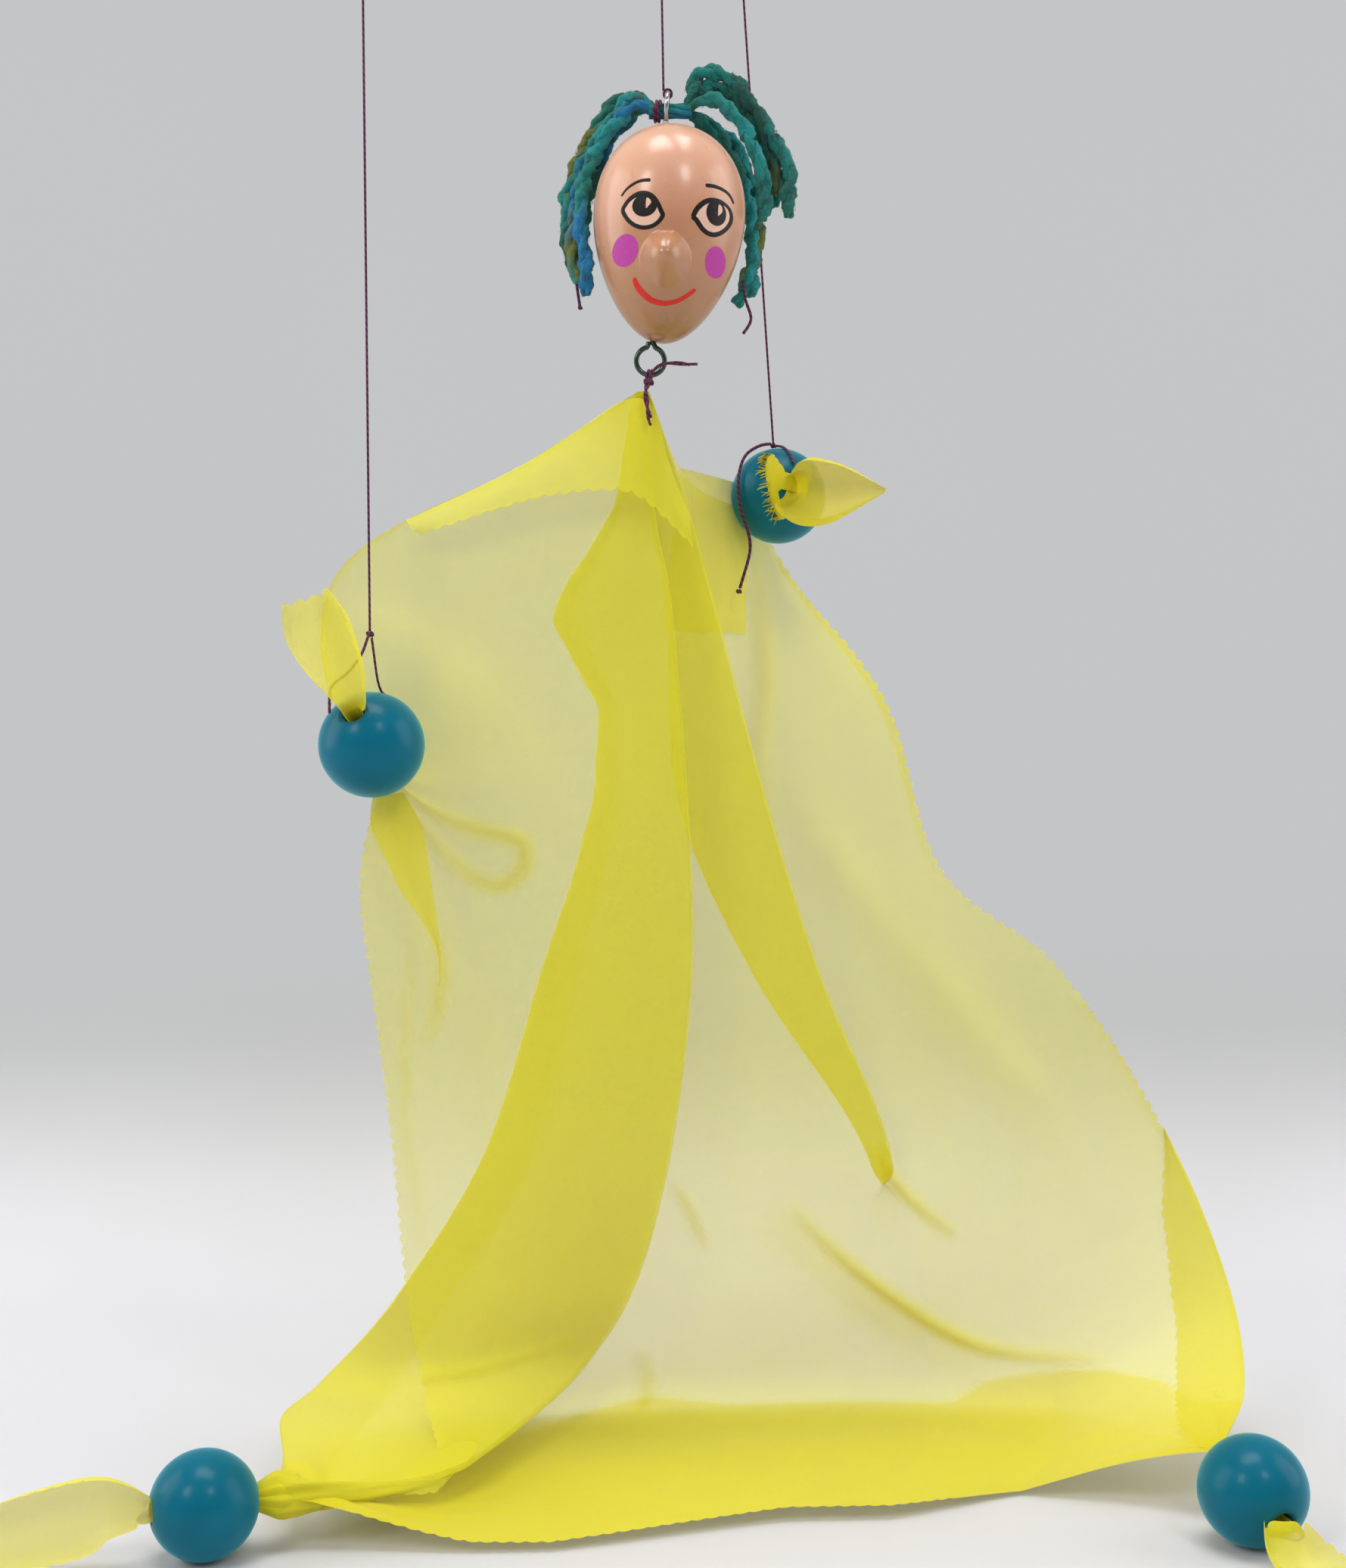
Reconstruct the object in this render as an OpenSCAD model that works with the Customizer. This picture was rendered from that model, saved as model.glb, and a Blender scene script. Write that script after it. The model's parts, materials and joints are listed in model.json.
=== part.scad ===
// A scarf marionette: a painted wooden egg head on a screw eye, four wooden
// beads as hands and feet, and one square of chiffon as its robe.
// It faces -Y and hangs by three strings from a crossed wooden control.
// Heights are measured from the table that the feet touch; hung() then moves
// everything so that the middle of the control is the origin.

/* [Control] */
// Length of each stick of the control
bar_l = 190; // [180:1:230]
// Width of a stick
bar_w = 18; // [14:0.5:22]
// Thickness of a stick
bar_t = 4; // [3:0.5:6]
// Height of the control's underside above the table
control_z = 490; // [482:1:540]
// Turn of the control about the vertical, in degrees
control_turn = 23; // [15:1:30]
// Diameter of the string holes
string_hole_d = 2.5; // [2:0.1:3]
// Distance of the outer string holes from the middle
outer_hole = 86; // [80:1:88]
// Distance of the inner string holes from the middle
inner_hole = 30; // [24:1:40]
// Distance of the head string's hole in front of the middle
head_hole = 12.5; // [12:0.1:16]
// Diameter of the hole that the control is hung up by
hang_hole_d = 6; // [4:0.5:8]
// Distance of that hole from the stick's rear end
hang_hole_in = 9; // [7:0.5:20]
// Diameter of the screw that joins the sticks
screw_d = 3; // [2.5:0.1:4]
// Diameter of the screw's domed head
screw_head_d = 7; // [6:0.5:9]
// Height of the screw's domed head
screw_head_h = 2.2; // [1.5:0.1:3]

/* [Strings] */
// Diameter of a string under load
string_d = 0.7; // [0.5:0.1:1]
// Diameter of the same thread where it hangs loose
thread_d = 1; // [0.8:0.1:1.2]
// Diameter of the stop knots on the control
stop_d = 4.4; // [3.6:0.1:6]
// Diameter of the knots at the hands
knot_d = 2.4; // [2:0.1:3]

/* [Head] */
// Height of the egg
head_h = 63.5; // [56:0.5:72]
// Widest diameter of the egg
head_w = 44.5; // [40:0.5:48]
// How far the egg's widest place lies above its middle, as a share
head_egg = 0.19; // [0.1:0.01:0.25]
// Lean of the head towards its left hand, in degrees
head_lean = 4.7; // [3:0.1:6]
// Height of the nose's tip above the chin
nose_up = 20; // [17:0.5:24]
// How far the nose stands out of the face
nose_out = 9; // [6:0.5:11]
// Width of the nose where it has left the face
nose_w = 12; // [9:0.5:14]

/* [Screw eyes] */
// Outer diameter of a screw eye's ring
ring_d = 9.8; // [9:0.1:11]
// Diameter of its wire
wire_d = 1.5; // [1.2:0.1:1.8]
// Length of the shank in the wood
shank_l = 9; // [6:0.5:12]
// Length of shank between the ring and the wood
shank_neck = 0.8; // [0.6:0.1:1.5]
// Distance of both screw eyes from the egg's axis
eye_off = 2.8; // [0:0.1:3.5]

/* [Hair] */
// Diameter of the yarn
yarn_d = 4; // [3:0.1:4.4]
// Diameter of the yarn bundle inside the top screw eye
bundle_d = 4.6; // [3.5:0.1:4.8]
// Length of that bundle
bundle_l = 10; // [8:0.5:12]

/* [Beads] */
// Diameter of a bead
bead_d = 30; // [27:0.5:31]
// Diameter of its bore
bore_d = 6.5; // [5:0.5:8]

/* [Robe] */
// Thickness that the chiffon is drawn with
cloth_t = 0.8; // [0.5:0.1:1]
// Distance between the layers of a pleat
pleat_gap = 2; // [1.6:0.1:2.4]
// Height of the place where the robe is tied
neck_z = 330.3; // [325:0.1:336]
// Rows of facets down the robe
robe_rows = 20; // [16:1:24]

/* [Fits] */
// Gap between parts that are threaded on or laid against each other
clear = 0.3; // [0.2:0.05:0.4]
// Radial gap of a shank or a screw in its hole
close_fit = 0.05; // [0.03:0.01:0.1]

/* [Hidden] */
$fn = 48;

wood = "burlywood";
brass = "gold";
steel = "silver";
purple = [0.33, 0.09, 0.24];
skin = [0.89, 0.67, 0.53];
teal = [0.02, 0.5, 0.52];
bead_blue = [0.05, 0.5, 0.62];
chiffon = [0.87, 0.85, 0.32];

// Vector helpers
function unit(v) = v / norm(v);
function mix(a, b, t) = a + (b - a) * t;
// Catmull-Rom curve through p, at the place t counted in points
function wrap_end(i, n) = max(0, min(n - 1, i));
function spline(p, t) =
    let (n = len(p), i = min(n - 2, floor(t)), f = t - i,
         a = p[wrap_end(i - 1, n)], b = p[i], c = p[i + 1], d = p[wrap_end(i + 2, n)])
    0.5 * (2 * b + (c - a) * f + (2 * a - 5 * b + 4 * c - d) * f * f
           + (3 * b - a - 3 * c + d) * f * f * f);
function smooth(p, steps) = [for (k = [0 : steps]) spline(p, k * (len(p) - 1) / steps)];

// The control stands turned, with the head string in front of its middle
across = [cos(control_turn), sin(control_turn), 0];
ahead = [sin(control_turn), -cos(control_turn), 0];
middle = -head_hole * ahead;
origin = middle + [0, 0, control_z + bar_t];

// Beads: middle, and the way out of the bore on the side of the free corner
floor_bead = bead_d / 2;
left_hand = [-86, -20, 223.6];
left_hand_way = unit([-0.24, -0.74, 0.63]);
right_hand = [34.3, 49, 301.8];
right_hand_way = unit([0.29, -0.94, 0.12]);
left_foot = [-133.2, -37, floor_bead];
left_foot_way = unit([-0.93, -0.36, 0]);
right_foot = [154.6, -40, floor_bead];
right_foot_way = unit([0.29, -0.89, -0.34]);
function bead_front(c, way) = c + way * (bead_d / 2 + clear);
function bead_back(c, way) = c - way * (bead_d / 2 + clear);

// Strings, from the control's holes to the hands
left_hole = middle - outer_hole * across + [0, 0, control_z];
right_hole = middle + inner_hole * across + [0, 0, control_z];
left_knot = [-85.95, -20, 255];
right_tie = right_hand + [-1.3, 0, bead_d / 2 + clear + string_d];

// The head's own frame stands on the lowest point of the neck's ring
head_foot = [-5.6, 0, neck_z];
head_axis = [sin(head_lean), 0, cos(head_lean)];
chin = ring_d + shank_neck - 0.25;
crown = chin + head_h;
top_ring_z = crown + shank_neck + ring_d / 2 - 0.25;
function head_place(x, y, z) = head_foot + [x * cos(head_lean) + z * sin(head_lean), y,
                                            z * cos(head_lean) - x * sin(head_lean)];
top_ring = head_place(0, 0, top_ring_z);
top_wire = head_place(0, 0, top_ring_z + (ring_d - wire_d) / 2);
neck_ring = head_place(0, 0, ring_d / 2);
neck_wire = head_place(0, 0, wire_d / 2);
bundle_low = (ring_d - 2 * wire_d - bundle_d) / 2 - clear / 3;
bundle = top_ring - [0, 0, bundle_low];

module hung() { translate(-origin) children(); }

// Turns +Z to the given way
module aim(way) {
    rotate([0, acos(way[2] / norm(way)), atan2(way[1], way[0])]) children();
}

module rod(a, b, d) { translate(a) aim(b - a) cylinder(d = d, h = norm(b - a), $fn = 16); }

module ball(at, d) { translate(at) sphere(d = d, $fn = 24); }

// One closed tube of the given diameters along a route, with flat ends
module tube(route, d, steps, sides = 8) {
    p = smooth(route, steps);
    n = len(p);
    way = [for (i = [0 : n - 1]) unit(p[wrap_end(i + 1, n)] - p[wrap_end(i - 1, n)])];
    flat = [for (w = way) unit(cross(w, abs(w[1]) < 0.8 ? [0, 1, 0] : [1, 0, 0]))];
    up = [for (i = [0 : n - 1]) cross(way[i], flat[i])];
    points = [for (i = [0 : n - 1], k = [0 : sides - 1])
        p[i] + d / 2 * (cos(360 * k / sides) * flat[i] + sin(360 * k / sides) * up[i])];
    walls = [for (i = [0 : n - 2], k = [0 : sides - 1])
        let (a = i * sides + k, b = i * sides + (k + 1) % sides)
        each [[a, a + sides, b + sides], [a, b + sides, b]]];
    first = [for (k = [1 : sides - 2]) [0, k, k + 1]];
    end = (n - 1) * sides;
    last = [for (k = [1 : sides - 2]) [end, end + k + 1, end + k]];
    polyhedron(points, concat(walls, first, last));
}

// A puff of cloth along a route: each place gives [point, half width, half depth]
module puff(places, side, steps = 10, sides = 12) {
    p = smooth([for (q = places) q[0]], steps);
    half = smooth([for (q = places) [q[1], q[2]]], steps);
    n = len(p);
    way = [for (i = [0 : n - 1]) unit(p[wrap_end(i + 1, n)] - p[wrap_end(i - 1, n)])];
    wide = [for (w = way) unit(side - w * (side * w))];
    deep = [for (i = [0 : n - 1]) cross(way[i], wide[i])];
    points = [for (i = [0 : n - 1], k = [0 : sides - 1])
        let (ruffle = 1 + 0.12 * (k % 2) * i / n)
        p[i] + half[i][0] * ruffle * cos(360 * k / sides) * wide[i]
             + half[i][1] * ruffle * sin(360 * k / sides) * deep[i]];
    walls = [for (i = [0 : n - 2], k = [0 : sides - 1])
        let (a = i * sides + k, b = i * sides + (k + 1) % sides)
        each [[a, a + sides, b + sides], [a, b + sides, b]]];
    first = [for (k = [1 : sides - 2]) [0, k, k + 1]];
    end = (n - 1) * sides;
    last = [for (k = [1 : sides - 2]) [end, end + k + 1, end + k]];
    polyhedron(points, concat(walls, first, last));
}

// The control

module stick(holes) {
    difference() {
        linear_extrude(bar_t) difference() {
            union() {
                square([bar_l - bar_w, bar_w], center = true);
                for (s = [-1, 1]) translate([s * (bar_l - bar_w) / 2, 0]) circle(d = bar_w);
            }
            for (x = holes) translate([x, 0]) circle(d = string_hole_d, $fn = 24);
            circle(d = screw_d + 2 * close_fit, $fn = 24);
        }
        children();
    }
}

module cross_bar() {
    color(wood) hung() translate(middle + [0, 0, control_z]) rotate(control_turn)
        stick([-outer_hole, -inner_hole, inner_hole, outer_hole]);
}

module main_bar() {
    color(wood) hung() translate(middle + [0, 0, control_z + bar_t]) rotate(control_turn - 90)
        stick([head_hole]) translate([hang_hole_in - bar_l / 2, 0, -1])
            cylinder(d = hang_hole_d, h = bar_t + 2);
}

module cross_screw() {
    color(brass) hung() translate(middle + [0, 0, control_z]) {
        translate([0, 0, 0.4]) cylinder(d = screw_d, h = 2 * bar_t - 0.4, $fn = 24);
        translate([0, 0, 2 * bar_t]) intersection() {
            cylinder(d = screw_head_d, h = screw_head_h);
            r = (screw_head_d * screw_head_d / 4 + screw_head_h * screw_head_h) / 2 / screw_head_h;
            translate([0, 0, screw_head_h - r]) sphere(r = r);
        }
    }
}

module head_string() {
    color(purple) hung() rod([0, 0, control_z + 2 * bar_t], [0, 0, top_wire[2] + wire_d / 2 + 2 * clear],
                             string_d);
}

module head_string_stop() {
    color(purple) hung() stop_knot([0, 0, control_z + 2 * bar_t]);
}

module stop_knot(at) {
    intersection() {
        translate(at + [0, 0, stop_d * 0.4]) sphere(d = stop_d, $fn = 24);
        translate(at + [-stop_d, -stop_d, 0]) cube(2 * stop_d);
    }
}

// Turns of thread round a wire that runs along the way
module wraps(at, way, wire, turns, thread = string_d) {
    translate(at) aim(way) for (k = [0 : turns - 1])
        translate([0, 0, (k - (turns - 1) / 2) * thread])
            rotate_extrude($fn = 24) translate([wire / 2 + clear / 3 + thread / 2, 0])
                circle(d = thread, $fn = 16);
}

module head_string_knot() {
    color(purple) hung() wraps(top_wire, [0, 1, 0], wire_d, 3);
}

module left_hand_string() {
    color(purple) hung() rod(left_knot + unit(left_hole - left_knot) * knot_d / 2,
                             left_hole + unit(left_hole - left_knot) * bar_t, string_d);
}

module left_hand_string_stop() { color(purple) hung() stop_knot(left_hole + [0, 0, bar_t]); }

module left_hand_knot() { color(purple) hung() ball(left_knot, knot_d); }

// Where a thread lies on a bead, in the given way from its middle
function on_bead(c, way) = c + unit(way) * (bead_d / 2 + 1.5 * clear + thread_d / 2);

module left_hand_loop() {
    over = [left_knot + [0.5, 0, -knot_d / 2],
            left_knot + [1.3, 0, -8],
            left_knot + [2, -0.1, -13.2],
            on_bead(left_hand, [0.18, 0.1, 0.98]),
            on_bead(left_hand, [0.22, 0.34, 0.92]),
            on_bead(left_hand, [0.25, 0.6, 0.76]),
            on_bead(left_hand, [0.28, 0.84, 0.46]),
            on_bead(left_hand, [0.28, 0.96, 0.05]),
            on_bead(left_hand, [0.26, 0.9, -0.35])];
    under = [left_knot + [-0.6, -0.3, -knot_d / 2],
             left_knot + [-2.2, -2.5, -6],
             left_knot + [-5.5, -5, -11],
             left_knot + [-9.2, -7.2, -14.2],
             left_knot + [-10.2, -8.6, -16.8],
             left_knot + [-9.9, -11.5, -22.6]];
    color(purple) hung() {
        tube(over, string_d, 24, 6);
        tube(under, string_d, 9, 6);
    }
}

module right_hand_string() {
    up = unit(right_hole - right_tie);
    color(purple) hung() rod(right_tie + up * (string_d + clear / 3), right_hole + up * bar_t, string_d);
}

module right_hand_string_stop() { color(purple) hung() stop_knot(right_hole + [0, 0, bar_t]); }

module right_hand_loop() {
    color(purple) hung() {
        ball(right_tie, 2 * string_d);
        tube([right_tie + [0.4, -0.6, -0.1],
              on_bead(right_hand, [0.1, -0.3, 0.95]),
              on_bead(right_hand, [0.22, -0.62, 0.74]),
              on_bead(right_hand, [0.27, -0.8, 0.52])], string_d, 6, 6);
    }
}

module right_hand_tail() {
    s = bead_d / 30;
    color(purple) hung() {
        tube([for (p = [[-2.3, -1.4, 16.4], [-5.7, -3.4, 15.6], [-9.8, -5.6, 12.9], [-11.9, -7, 9.1],
                        [-13, -9.2, 3.6], [-12.9, -10, -2], [-12, -10.4, -7], [-10.3, -10, -12],
                        [-9.6, -9.6, -16], [-10, -9.6, -20], [-11.5, -10, -25], [-13.1, -10.4, -30]])
              right_hand + p * s], thread_d, 26);
        ball(right_hand + [-13.5, -10.5, -31.3] * s, 1.8 * thread_d);
    }
}

// The head

// Half width of the egg at the share s of its half height, -1 at the chin to 1 at the crown
function egg_raw(s) = sqrt(max(0, 1 - s * s)) * (1 + head_egg * s);
egg_peak = max([for (s = [0 : 0.01 : 0.4]) egg_raw(s)]);
function egg_r(s) = head_w / 2 * egg_raw(s) / egg_peak;

module in_head() { hung() translate(head_foot) rotate([0, head_lean, 0]) children(); }

module egg() {
    steps = 40;
    translate([eye_off, 0, chin + head_h / 2]) rotate_extrude($fn = 96) polygon(
        [for (k = [0 : steps]) let (s = -cos(180 * k / steps)) [egg_r(s), s * head_h / 2]]);
}

// A rounded nose whose foot runs out into the face in a hollow curve
module nose() {
    s = 2 * nose_up / head_h - 1;
    face = egg_r(s);
    foot = 0.35 * nose_w;
    tip = nose_w / 2;
    blend = [for (k = [0 : 8]) let (a = 90 * k / 8)
        [tip + foot * (1 - sin(a)), nose_out - tip - foot * cos(a) * 0.9]];
    round_tip = [for (k = [1 : 8]) let (a = 90 * k / 8) [tip * cos(a), nose_out - tip + tip * sin(a)]];
    translate([eye_off, -face, chin + nose_up]) rotate([90 + 8, 0, 0])
        rotate_extrude($fn = 48) polygon(concat(
            [[0, -12], [tip + foot, -12]], blend, round_tip));
}

module head() {
    color(skin) in_head() difference() {
        union() {
            egg();
            nose();
        }
        for (z = [chin - 2, crown - shank_l - 1])
            translate([0, 0, z]) cylinder(d = wire_d + 2 * close_fit, h = shank_l + 3, $fn = 24);
    }
}

// A screw eye with its ring's middle at the origin and its shank going up
module screw_eye() {
    rotate([90, 0, 0])
        rotate_extrude($fn = 48) translate([(ring_d - wire_d) / 2, 0]) circle(d = wire_d, $fn = 20);
    translate([0, 0, (ring_d - wire_d) / 2])
        cylinder(d = wire_d, h = wire_d / 2 + shank_neck + shank_l - 2, $fn = 20);
    translate([0, 0, ring_d / 2 + shank_neck + shank_l - 2])
        cylinder(d1 = wire_d, d2 = 0.3, h = 2, $fn = 20);
}

module neck_screw_eye() {
    color(steel) in_head() translate([0, 0, ring_d / 2]) screw_eye();
}

module top_screw_eye() {
    color(steel) in_head() translate([0, 0, top_ring_z]) rotate([180, 0, 90]) screw_eye();
}

// Hair: yarn drawn through the top ring and tied, hanging in bunches

module hair_bundle() {
    color(teal) hung() translate(bundle - [bundle_l / 2 - 1, 0, 0]) rotate([0, 90, 0])
        cylinder(d = bundle_d, h = bundle_l);
}

module hair_tie() {
    color(purple) hung() translate(bundle) for (x = [-1.5, -2.5])
        translate([x - wire_d / 2, 0, 0]) rotate([0, 90, 0]) rotate_extrude($fn = 32)
            translate([bundle_d / 2 + clear / 3 + thread_d / 2, 0]) circle(d = thread_d, $fn = 12);
}

// Takes off the yarn that would stand in the bundle, past a place on the given side
module cut_flat(x, side) {
    translate(bundle + [x + side * yarn_d, 0, 0]) cube(2 * yarn_d, center = true);
}

// A strand's places are measured from the middle of the bundle
module strand(places, steps = 9) {
    s = max(head_w / 44.5, 1);
    start = places[0];
    tube([for (p = places) bundle + start + [(p[0] - start[0]) * s, (p[1] - start[1]) * s, p[2] - start[2]]],
         yarn_d, steps, 6);
}

left_start = -bundle_l / 2 + 1 - clear;
right_start = bundle_l / 2 + 1 + clear;

module hair_left() {
    color(teal) hung() difference() {
        union() {
            strand([[left_start, 0.5, 1.2], [-9, 3, 5], [-15, 5, 4.4], [-21.6, 5, -4.5], [-26.6, 5, -13.5],
                    [-29.6, 4, -24.5], [-30.2, 3, -36], [-28, 2, -45.5]]);
            strand([[left_start, -0.3, 0], [-9.5, -0.8, 1.5], [-16.5, -0.5, -5], [-22.6, 0, -14.5],
                    [-25.6, -1, -24], [-26.1, -2, -34.5], [-25.2, -2.4, -44.5], [-24, -1.4, -53]]);
            strand([[left_start, 0.6, 0.3], [-9, 5, 2.4], [-14, 9.5, -1.5], [-19.6, 11.4, -10.5],
                    [-24.2, 11.4, -21.5], [-26.2, 10.4, -33.5], [-26.6, 9.4, -42.5]]);
        }
        cut_flat(left_start, 1);
    }
}

module hair_right() {
    color(teal) hung() difference() {
        union() {
            strand([[right_start, 0.3, 1], [8.5, 1, 9.4], [13, 2, 12.2], [20, 2, 9], [26, 2, 0.5],
                    [32, 2, -9.5], [36, 2, -20], [35.6, 2, -31.5]]);
            strand([[right_start, 0.8, 0.6], [9.5, 5, 5.6], [14.5, 6.2, 6.8], [20.8, 6.2, 2.2],
                    [26, 6.2, -6.5], [30.4, 6.2, -16.5], [31.4, 6.2, -26.5]]);
            strand([[right_start, -0.3, 0], [10, -1, 2.6], [16.4, -1.6, 2], [22.4, -1.6, -5.5],
                    [27, -1.2, -15.5], [28.4, 0, -25.5], [27.8, 1, -33]]);
        }
        cut_flat(right_start, -1);
    }
}

module hair_back() {
    color(teal) hung() union() {
        strand([[right_start + 1, 5.3, 0], [11, 10, 0.4], [17.4, 13, -3.6], [23.4, 13.6, -11.6],
                [26.4, 13.6, -23.6], [26, 13, -36.6], [23.4, 12.4, -47.6], [19.8, 12.4, -54]], 10);
    }
}

module hair_left_thread() {
    color(purple) hung() tube([for (p = [[-27.9, 1.9, -46], [-27.3, 1.7, -51], [-26.6, 1.6, -56.4]])
                               bundle + p], thread_d, 4);
}

module hair_right_thread() {
    color(purple) hung() tube([for (p = [[21.7, 10.3, -47.8], [22.4, 7, -54], [23.8, 4.4, -60.4],
                                         [21.4, 3.6, -64.8]])
                               bundle + p], thread_d, 8);
}

// The neck tie: a loop through the lower ring, a knot, a collar round the
// gathered cloth, and four loose ends

collar_r = 4.8;

module neck_tie() {
    low = head_foot;
    color(purple) hung() union() {
        wraps(neck_wire, [1, 0, 0], wire_d, 2, thread_d);
        ball(low + [-0.2, -2.4, -1.6], 2.6);
        translate(low + [-1.7, 0.8, -4.4])
            rotate_extrude($fn = 32) translate([collar_r, 0]) circle(d = thread_d, $fn = 12);
        tube([low + [-0.4, -2.6, -2], low + [-0.8, -4.4, -6.5], low + [-0.3, -5.2, -11],
              low + [0.5, -5.8, -15.6]],
             1.5 * thread_d, 6);
        tube([low + [0, -2.4, -1], low + [1.4, -3, 1.6], low + [4, -3.6, 2.8], low + [8, -4.4, 2.9],
              low + [14, -5.4, 2.1]], 1.3 * thread_d, 9);
    }
}

// Beads and the corners of the robe that are drawn through them

module bead(c, way) {
    color(bead_blue) hung() translate(c) aim(way) difference() {
        sphere(d = bead_d, $fn = 96);
        translate([0, 0, -bead_d]) cylinder(d = bore_d, h = 2 * bead_d, $fn = 32);
    }
}

// The cloth inside a bore
module plug(c, way) {
    half = sqrt(bead_d * bead_d - bore_d * bore_d) / 2;
    translate(c) aim(way) translate([0, 0, -half])
        cylinder(d = bore_d - 2 * close_fit, h = 2 * half + 1.2, $fn = 24);
}

module left_hand_bead() { bead(left_hand, left_hand_way); }
module right_hand_bead() { bead(right_hand, right_hand_way); }
module left_foot_bead() { bead(left_foot, left_foot_way); }
module right_foot_bead() { bead(right_foot, right_foot_way); }

module left_hand_cloth() {
    m = bead_front(left_hand, left_hand_way);
    color(chiffon) hung() union() {
        plug(left_hand, left_hand_way);
        puff([[m, 2.7, 2.7], [m + [0, -2, 3], 4.4, 3], [m + [-2, -2.4, 9], 7.4, 3.4],
              [m + [-5.5, -1.6, 16], 8.6, 4], [m + [-8, -0.6, 23.5], 7.4, 4.4],
              [m + [-10.4, 0.4, 31], 4, 2.6]], [1, 0, 0.5]);
    }
}

module right_hand_cloth() {
    m = bead_front(right_hand, right_hand_way);
    color(chiffon) hung() union() {
        plug(right_hand, right_hand_way);
        puff([[m + [-7.4, -3.2, -2.4], 7.6, 1.6], [m + [-3, -3.8, -2.8], 6.4, 2.6],
              [m + [1.2, -4.6, -3.4], 5.2, 3.2], [m + [7, -7, -4.6], 10, 4],
              [m + [15, -10.6, -4.4], 7.4, 3.6], [m + [23.6, -14.4, -4.6], 0.9, 0.7]], [0, 0, 1]);
    }
}

module left_foot_cloth() {
    m = bead_front(left_foot, left_foot_way);
    color(chiffon) hung() union() {
        plug(left_foot, left_foot_way);
        puff([[m, 2.7, 2.7], [m + [-3, -1.6, 2.6], 7, 3], [m + [-11, -3.6, 3], 9.6, 4],
              [m + [-20, -5, 0], 11, 4.6], [m + [-35, -7, -3.6], 8.6, 4.6],
              [m + [-55, -8, -9.4], 4.4, 3]], [0, 0, 1]);
        gather(left_heel, [12, 1.5, 2.5], [-0.2, 0.48, 0.87], 16, 12);
    }
}

module right_foot_cloth() {
    m = bead_front(right_foot, right_foot_way);
    color(chiffon) hung() union() {
        plug(right_foot, right_foot_way);
        puff([[m, 2.7, 2.7], [m + [-1.2, -4.4, 0.4], 5.6, 3], [m + [-0.4, -11, -3.2], 7.6, 2.9],
              [m + [2, -20, -5.8], 9, 2.6], [m + [5, -34, -7.2], 7.4, 1.6]], [1, 0, 0]);
        gather(right_heel, [-0.29, 0.89, 0.34], [0.92, 0.18, 0.32], 8, 9);
    }
}

// The robe. Ten lines run down the sheet from the neck to the hem. Between
// them it lies in two long pleats: it goes out to the front line of a pleat,
// back to its rear line and out again, each time one layer farther back.

neck = [head_foot[0], 0, neck_z];
left_heel = bead_back(left_foot, left_foot_way);
right_heel = bead_back(right_foot, right_foot_way);
left_cuff = bead_back(left_hand, left_hand_way);
right_cuff = bead_back(right_hand, right_hand_way);

left_edge = [neck + [-3.6, -1.8, -4.4], neck + [-37, -2, -25], neck + [-94, -3, -59],
             left_cuff + [-9, 3, -9], [-92, 6, 156], [-88, 15, 107], [-86, 27, 57], [-82, 30, 27],
             [-88, 4.5, 22.8], left_heel + [15.8, 3.2, 8.3]];
pleat_a_front = [neck + [-0.6, -2, -4.2], neck + [0.4, -2.4, -40], [-1, 0, 264], [3, 12, 205],
                 [3, 28, 150], [-5, 46, 92], [-18, 64, 46], [-37, 70, 18], [-65.4, -4.7, 14.4],
                 left_heel + [27.4, -8.4, -1.6]];
pleat_a_back = [neck + [-3.4, -0.4, -4.2], neck + [-14.6, 2, -36], [-35, 10, 260], [-26, 20, 206],
                [-43, 38, 150], [-63, 54, 92], [-94, 68, 44], [-116, 55, 22], [-122.1, 17.2, 20.6],
                left_heel + [15.5, 6.1, 2.6]];
left_tuck = [neck + [-2.8, 0.7, -4.2], neck + [-12.4, 4.6, -36.6], [-29, 13.4, 261], [-19, 23, 206],
             [-32, 41, 150], [-47, 57.6, 92], [-76, 73, 44], [-98, 69, 11], [-106.7, 23.4, 4.2],
             left_heel + [19.5, 9.8, -7.1]];
left_low = [neck + [-2.2, 0.8, -4.2], neck + [-9, 6, -37], [-22, 15, 262], [-10, 25.4, 206],
            [-18, 43, 150], [-26, 60, 92], [-50, 76, 44], [-66, 77, 6], [-84, 14, 4],
            left_heel + [28, -6, -11.5]];
middle_line = [neck + [-1.4, 0.9, -4.2], neck + [-2, 6, -37], [-6, 14, 263], [6, 26, 205],
               [12, 43, 150], [16, 62, 93], [0, 79, 46], [-10, 86, 5], [-34, 18, 4],
               [-38, -37, 3]];
pleat_b_front = [neck + [-0.4, 0.8, -4.2], neck + [9.6, 6, -36], [12, 14, 264], [27, 26, 205],
                 [44, 43, 149], [66, 60, 93], [70, 76, 48], [72, 84, 7.6], [64, 32, 6.6], [48, -17, 6]];
pleat_b_back = [neck + [-3.2, 2.1, -4.2], neck + [0, 11, -38], [-1, 22, 263], [2, 34, 204],
                [25, 49, 149], [58, 65, 92], [63, 82, 47], [61, 91, 5], [54, 34, 3.6], [38, -22, 3.4]];
right_line = [neck + [-1.8, 3.2, -4.2], neck + [8, 18, -31], [12, 41, 278], [35, 49, 222],
              [56, 59, 166], [94, 68, 121], [114, 78, 70], [122, 76, 8], [112, 28, 3], [98, 1, 1.6]];
right_edge = [neck + [-0.2, 3.4, -4.2], neck + [16, 26, -26], right_cuff + [-5, 2, -8], [67, 60, 240],
              [86, 62, 182], [124, 64, 149], [158, 64, 94], [173, 48, 48], [167, 12, 26],
              right_heel + [2, 9.8, 3]];
gaps = [0.5, 0.9, 1, 1, 1, 1, 1, 1, 1, 0.8];
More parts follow.
